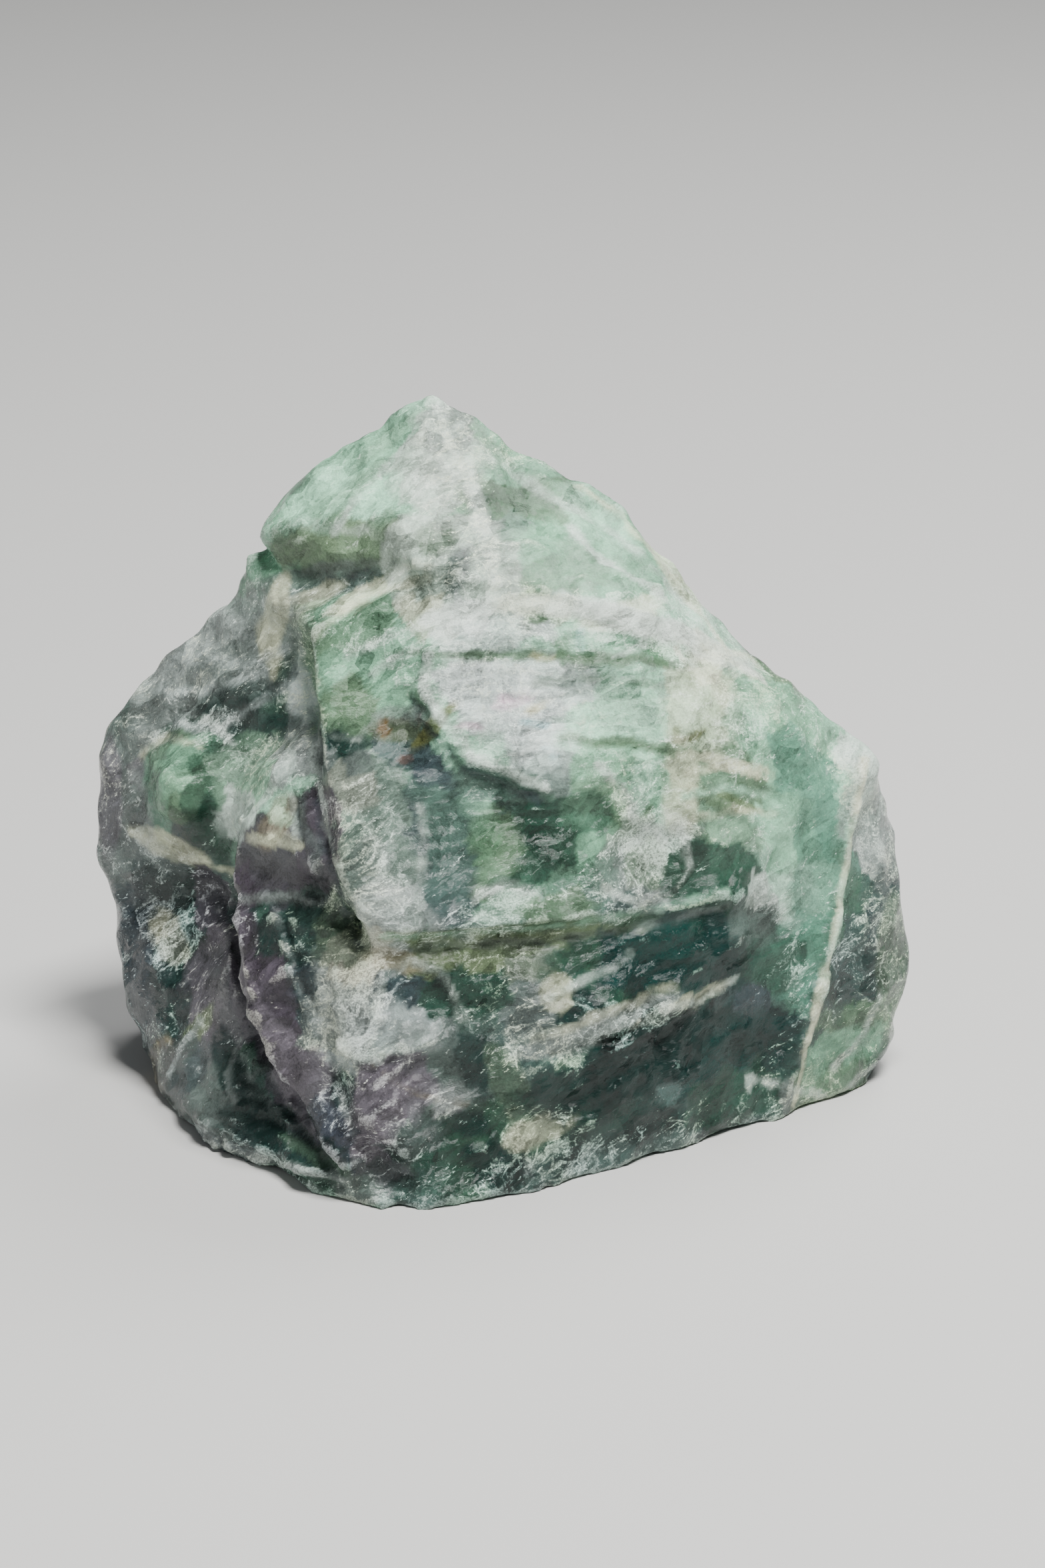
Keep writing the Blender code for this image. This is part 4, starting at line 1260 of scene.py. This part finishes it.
def paintStone(stone):
    sight = Sight(stone)
    points = pointsOf(stone.data)
    wandering = points.copy()
    for length, reach in paint["drift"]:
        wandering += ripples(points, length, [seed * length for seed in seeds["paintDrift"]]) * reach
    for length, share in paint["angular"]:
        wandering -= share * cellOffsets(wandering, length)
    length, reach = paint["lineDrift"]
    slight = points + reach * ripples(points, length, seeds["lineDrift"])
    tone = groundTone(points, wandering, slight, sight)
    tone, frosted = paintLines(slight, sight, tone, summed(frost, wandering, sight))
    storeLayer(stone, "ground", tone)
    storeLayer(stone, "frost", frosted)
    storeLayer(stone, "level", np.clip(summed(levelGrain, wandering, sight), 0, 1))


paintStone(lump)
print("stone painted")

# The crystal itself, and how its surface takes the light
crystal = {
    "transmission": 0.2,
    "ior": 1.434,
    "absorption": (0.35, 0.62, 0.48),
    "density": 50.0,
    "roughClear": 0.11,
    "roughFrost": 0.40,
    "roughWander": 0.3,
    "gloss": 0.34,
    "coat": 0.05,
    "coatRough": 0.10,
    "coolVeil": (0.82, 0.885, 0.83),
    "warmVeil": (0.82, 0.86, 0.64),
    "warmEdge": (0.45, 0.60),
    "hueGain": 1.15,
    "hueShare": 0.42,  # how much a veil takes the tone below it
    "milk": (0.0, 0.6, 0.10),  # from, full, strength
    # Painted shade: how far the hollows are darkened towards black green
    "shadow": (0.2, 0.38, 0.12, 0.12),  # wander, from, full, strength
    "bump": (0.4, 0.0010, 0.3),  # strength, distance in metres, share of the grit
}

# How the place is bent before the patterns are read: scale, reach in millimetres, detail
bends = {"broad": (0.08, 6.0, 1.0), "ragged": (0.7, 0.9, 2.0)}

# Which way the patterns run in the photo, and how long, thick and deep they are
runs = {
    "rise": (30.0, (3.6, 1.0, 1.8)),
    "fall": (-58.0, (3.0, 1.0, 1.8)),
    "flat": (2.0, (5.0, 0.8, 1.8)),
    "block": (30.0, (1.6, 1.0, 1.2)),
    "flake": (30.0, (2.2, 1.0, 1.4)),
}

# Cells that the cracks part: scale, change of tone, lean of their faces
cells = {"large": (0.12, 0.38, 0.25), "small": (0.36, 0.30, 0.40), "flake": (1.5, 0.18, 0.40)}

# Noises: scale, detail, roughness
noises = {
    "rise": (0.5, 7.0, 0.70),
    "flat": (0.6, 7.0, 0.70),
    "fall": (0.42, 7.0, 0.70),
    "cloud": (0.12, 4.0, 0.6),
    "grit": (2.6, 2.0, 0.7),
    "fine": (2.0, 3.0, 0.65),
    "warmth": (0.05, 2.0, 0.5),
}

# Light and dark inside the crystal: a base, and the share of each noise
shine = {"base": 0.44, "fall": 1.0, "cloud": 0.8, "grit": 0.9}

# White frost: how it follows the painted amount, and the noises that break it
frosting = {
    "cloud": 1.1,
    "cell": 0.20,
    "flakeGrain": 0.14,
    "gritGrain": 0.45,
    "rise": (0.44, 0.51, 0.82, 0.78),  # share of the amount, from, full, strength
    "fall": (0.40, 0.55, 0.84, 0.66),
    "streaks": (0.26, 0.62, 0.70, 0.85),
    "streakWisps": 0.7,
    "flakes": (0.6, 1.02, 1.16, 0.5),
    "flakeWisps": 1.0,
    "edges": (0.76, 0.96, 0.45),
    "edgeWisps": (0.8, 0.5),  # share of the wisps, and of the grain
    "cracks": (0.17, (0.045, 0.012), 0.4, (0.42, 0.60), 0.75),  # scale, width, share, gathered, strength
    "fineCracks": (0.45, (0.11, 0.03), 0.4, (0.50, 0.62), 0.36),
    "broken": (0.30, 0.62, 0.30, 0.85),  # from, full, least, added
}


def pushed(shade, place, tone, reach):  # moves a place or a normal by a tone around middle grey
    centred = shade.vector("SUBTRACT", tone, (0.5, 0.5, 0.5))
    return shade.vector("ADD", place, shade.vector("SCALE", centred, Scale=reach))


def bentPlace(shade, place, name):
    scale, reach, detail = bends[name]
    return pushed(shade, place, shade.noise(place, scale, detail, output="Color"), reach)


def stretched(shade, place, name):
    turn, lengths = runs[name]
    axes = Matrix((pictureAxis(turn), pictureAxis(turn + 90), toViewer)).transposed()
    inputs = {"Vector": place, "Rotation": axes.to_euler(), "Scale": lengths}
    return shade.out(shade.make("ShaderNodeMapping", {"vector_type": "TEXTURE"}, inputs))


def crackLines(shade, place, name, wisps, amount):
    scale, width, share, gathered, strength = frosting[name]
    found = shade.ramp(shade.voronoi(place, scale, "DISTANCE_TO_EDGE", "Distance"), *width)
    return found * shade.ramp(wisps + share * amount, *gathered) * strength


def frostCover(shade, ragged, rising, grain, amount):
    wisps, fallWisps, flakeShade, grit = grain
    rim = shade.attribute("rim")
    grainy = frosting["flakeGrain"] * (flakeShade - 0.5) + frosting["gritGrain"] * (grit - 0.5)
    layers = []
    for name, noiseValue in (("rise", wisps), ("fall", fallWisps)):
        share, begins, full, strength = frosting[name]
        layers.append(shade.ramp(noiseValue + share * amount + grainy, begins, full) * strength)
    share, begins, full, strength = frosting["streaks"]
    fine = shade.noise(rising, *noises["fine"]) + frosting["streakWisps"] * (wisps - 0.5) + share * amount
    layers.append(shade.ramp(fine, begins, full) * strength)
    share, begins, full, strength = frosting["flakes"]
    bright = flakeShade + share * amount + frosting["flakeWisps"] * (wisps - 0.5)
    layers.append(shade.ramp(bright, begins, full) * strength)
    layers.append(crackLines(shade, ragged, "cracks", wisps, amount))
    layers.append(crackLines(shade, ragged, "fineCracks", fallWisps, amount))
    begins, full, strength = frosting["edges"]
    wispShare, grainShare = frosting["edgeWisps"]
    layers.append(shade.ramp(rim + wispShare * (wisps - 0.5) + grainShare * grainy, begins, full) * strength)
    white = layers[0]
    for layer in layers[1:]:
        white = shade.math("MAXIMUM", white, layer)
    begins, full, least, added = frosting["broken"]
    return white * (least + added * shade.ramp(grit, begins, full))


def fluorite():
    shade = Shade("fluorite")
    place = shade.out(shade.make("ShaderNodeTexCoord", {}, {}), "Object")
    place = shade.vector("SCALE", place, Scale=1 / mm)
    bent = bentPlace(shade, place, "broad")
    ragged = bentPlace(shade, bent, "ragged")
    rising = stretched(shade, ragged, "rise")
    falling = stretched(shade, ragged, "fall")
    flat = stretched(shade, ragged, "flat")

    # Cells that the cracks part, each with its own depth of tone
    blocky = stretched(shade, bent, "block")
    flaky = stretched(shade, ragged, "flake")
    cellTones = []
    cellShades = []
    for name, cellPlace in (("large", blocky), ("small", blocky), ("flake", flaky)):
        cellTones.append(shade.voronoi(cellPlace, cells[name][0]))
        cellShades.append(shade.vector("DOT_PRODUCT", cellTones[-1], (1.0, 0.0, 0.0), output="Value"))
    largeShade, smallShade, flakeShade = cellShades
    largeChange, smallChange, flakeChange = [row[1] for row in cells.values()]

    # Light and dark grain inside the crystal
    riseWisps = shade.noise(rising, *noises["rise"])
    flatWisps = shade.noise(flat, *noises["flat"])
    wisps = riseWisps + shade.attribute("level") * (flatWisps - riseWisps)
    fallWisps = shade.noise(falling, *noises["fall"])
    cloud = shade.noise(ragged, *noises["cloud"])
    grit = shade.noise(place, *noises["grit"])
    light = shine["base"] + largeChange * largeShade + smallChange * smallShade + flakeChange * flakeShade
    light = light + shine["fall"] * (fallWisps - 0.5) + shine["cloud"] * (cloud - 0.5)
    light = light + shine["grit"] * (grit - 0.5)
    ground = shade.vector("SCALE", shade.attribute("ground", "Vector"), Scale=light)

    # White frost over it, thick in some places and thin in others
    amount = shade.attribute("frost") + frosting["cloud"] * (cloud - 0.5)
    amount = amount + frosting["cell"] * (smallShade - 0.5)
    white = frostCover(shade, ragged, rising, (wisps, fallWisps, flakeShade, grit), amount)
    milkFrom, milkFull, milkShare = crystal["milk"]
    milk = shade.ramp(amount, milkFrom, milkFull) * milkShare
    warmth = shade.ramp(shade.noise(place, *noises["warmth"]), *crystal["warmEdge"])
    veilTone = shade.mix(warmth, colour(crystal["coolVeil"]), colour(crystal["warmVeil"]))
    hue = shade.vector("SCALE", shade.vector("NORMALIZE", ground), Scale=crystal["hueGain"])
    veilTone = shade.mix(crystal["hueShare"], veilTone, hue)
    tone = shade.mix(white, shade.mix(milk, ground, veilTone), veilTone)
    # Painted shade: the hollows darken towards black green
    wander, darkFrom, darkFull, darkShare = crystal["shadow"]
    dark = shade.ramp(shade.attribute("hollow") + wander * (cloud - 0.5), darkFrom, darkFull) * darkShare
    tone = shade.mix(dark, tone, colour(tones["blackGreen"]))

    # Small flat facets that catch the light, and the finest relief
    normal = shade.out(shade.make("ShaderNodeNewGeometry", {}, {}), "Normal")
    for cellTone, row in zip(cellTones, cells.values()):
        normal = pushed(shade, normal, cellTone, row[2])
    normal = shade.vector("NORMALIZE", normal)
    strength, distance, gritShare = crystal["bump"]
    bumpInputs = {"Strength": strength, "Distance": distance, "Height": wisps + gritShare * grit}
    bump = shade.make("ShaderNodeBump", {}, {**bumpInputs, "Normal": normal})
    rough = crystal["roughClear"] + (crystal["roughFrost"] - crystal["roughClear"]) * white
    rough = rough + crystal["roughWander"] * (fallWisps - 0.5)
    surfaceInputs = {
        "Base Color": tone,
        "Roughness": rough,
        "IOR": crystal["ior"],
        "Specular IOR Level": crystal["gloss"],
        "Coat Weight": crystal["coat"],
        "Coat Roughness": crystal["coatRough"],
        "Transmission Weight": crystal["transmission"],
        "Normal": shade.out(bump, "Normal"),
    }
    surface = shade.make("ShaderNodeBsdfPrincipled", {}, surfaceInputs)
    absorbInputs = {"Color": colour(crystal["absorption"]), "Density": crystal["density"]}
    absorb = shade.make("ShaderNodeVolumeAbsorption", {}, absorbInputs)
    shade.make("ShaderNodeOutputMaterial", {}, {"Surface": shade.out(surface), "Volume": shade.out(absorb)})
    return shade.material


lump.data.materials.clear()
lump.data.materials.append(fluorite())
print("crystal coloured")

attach(lump, "root")
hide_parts("rough_fluorite")
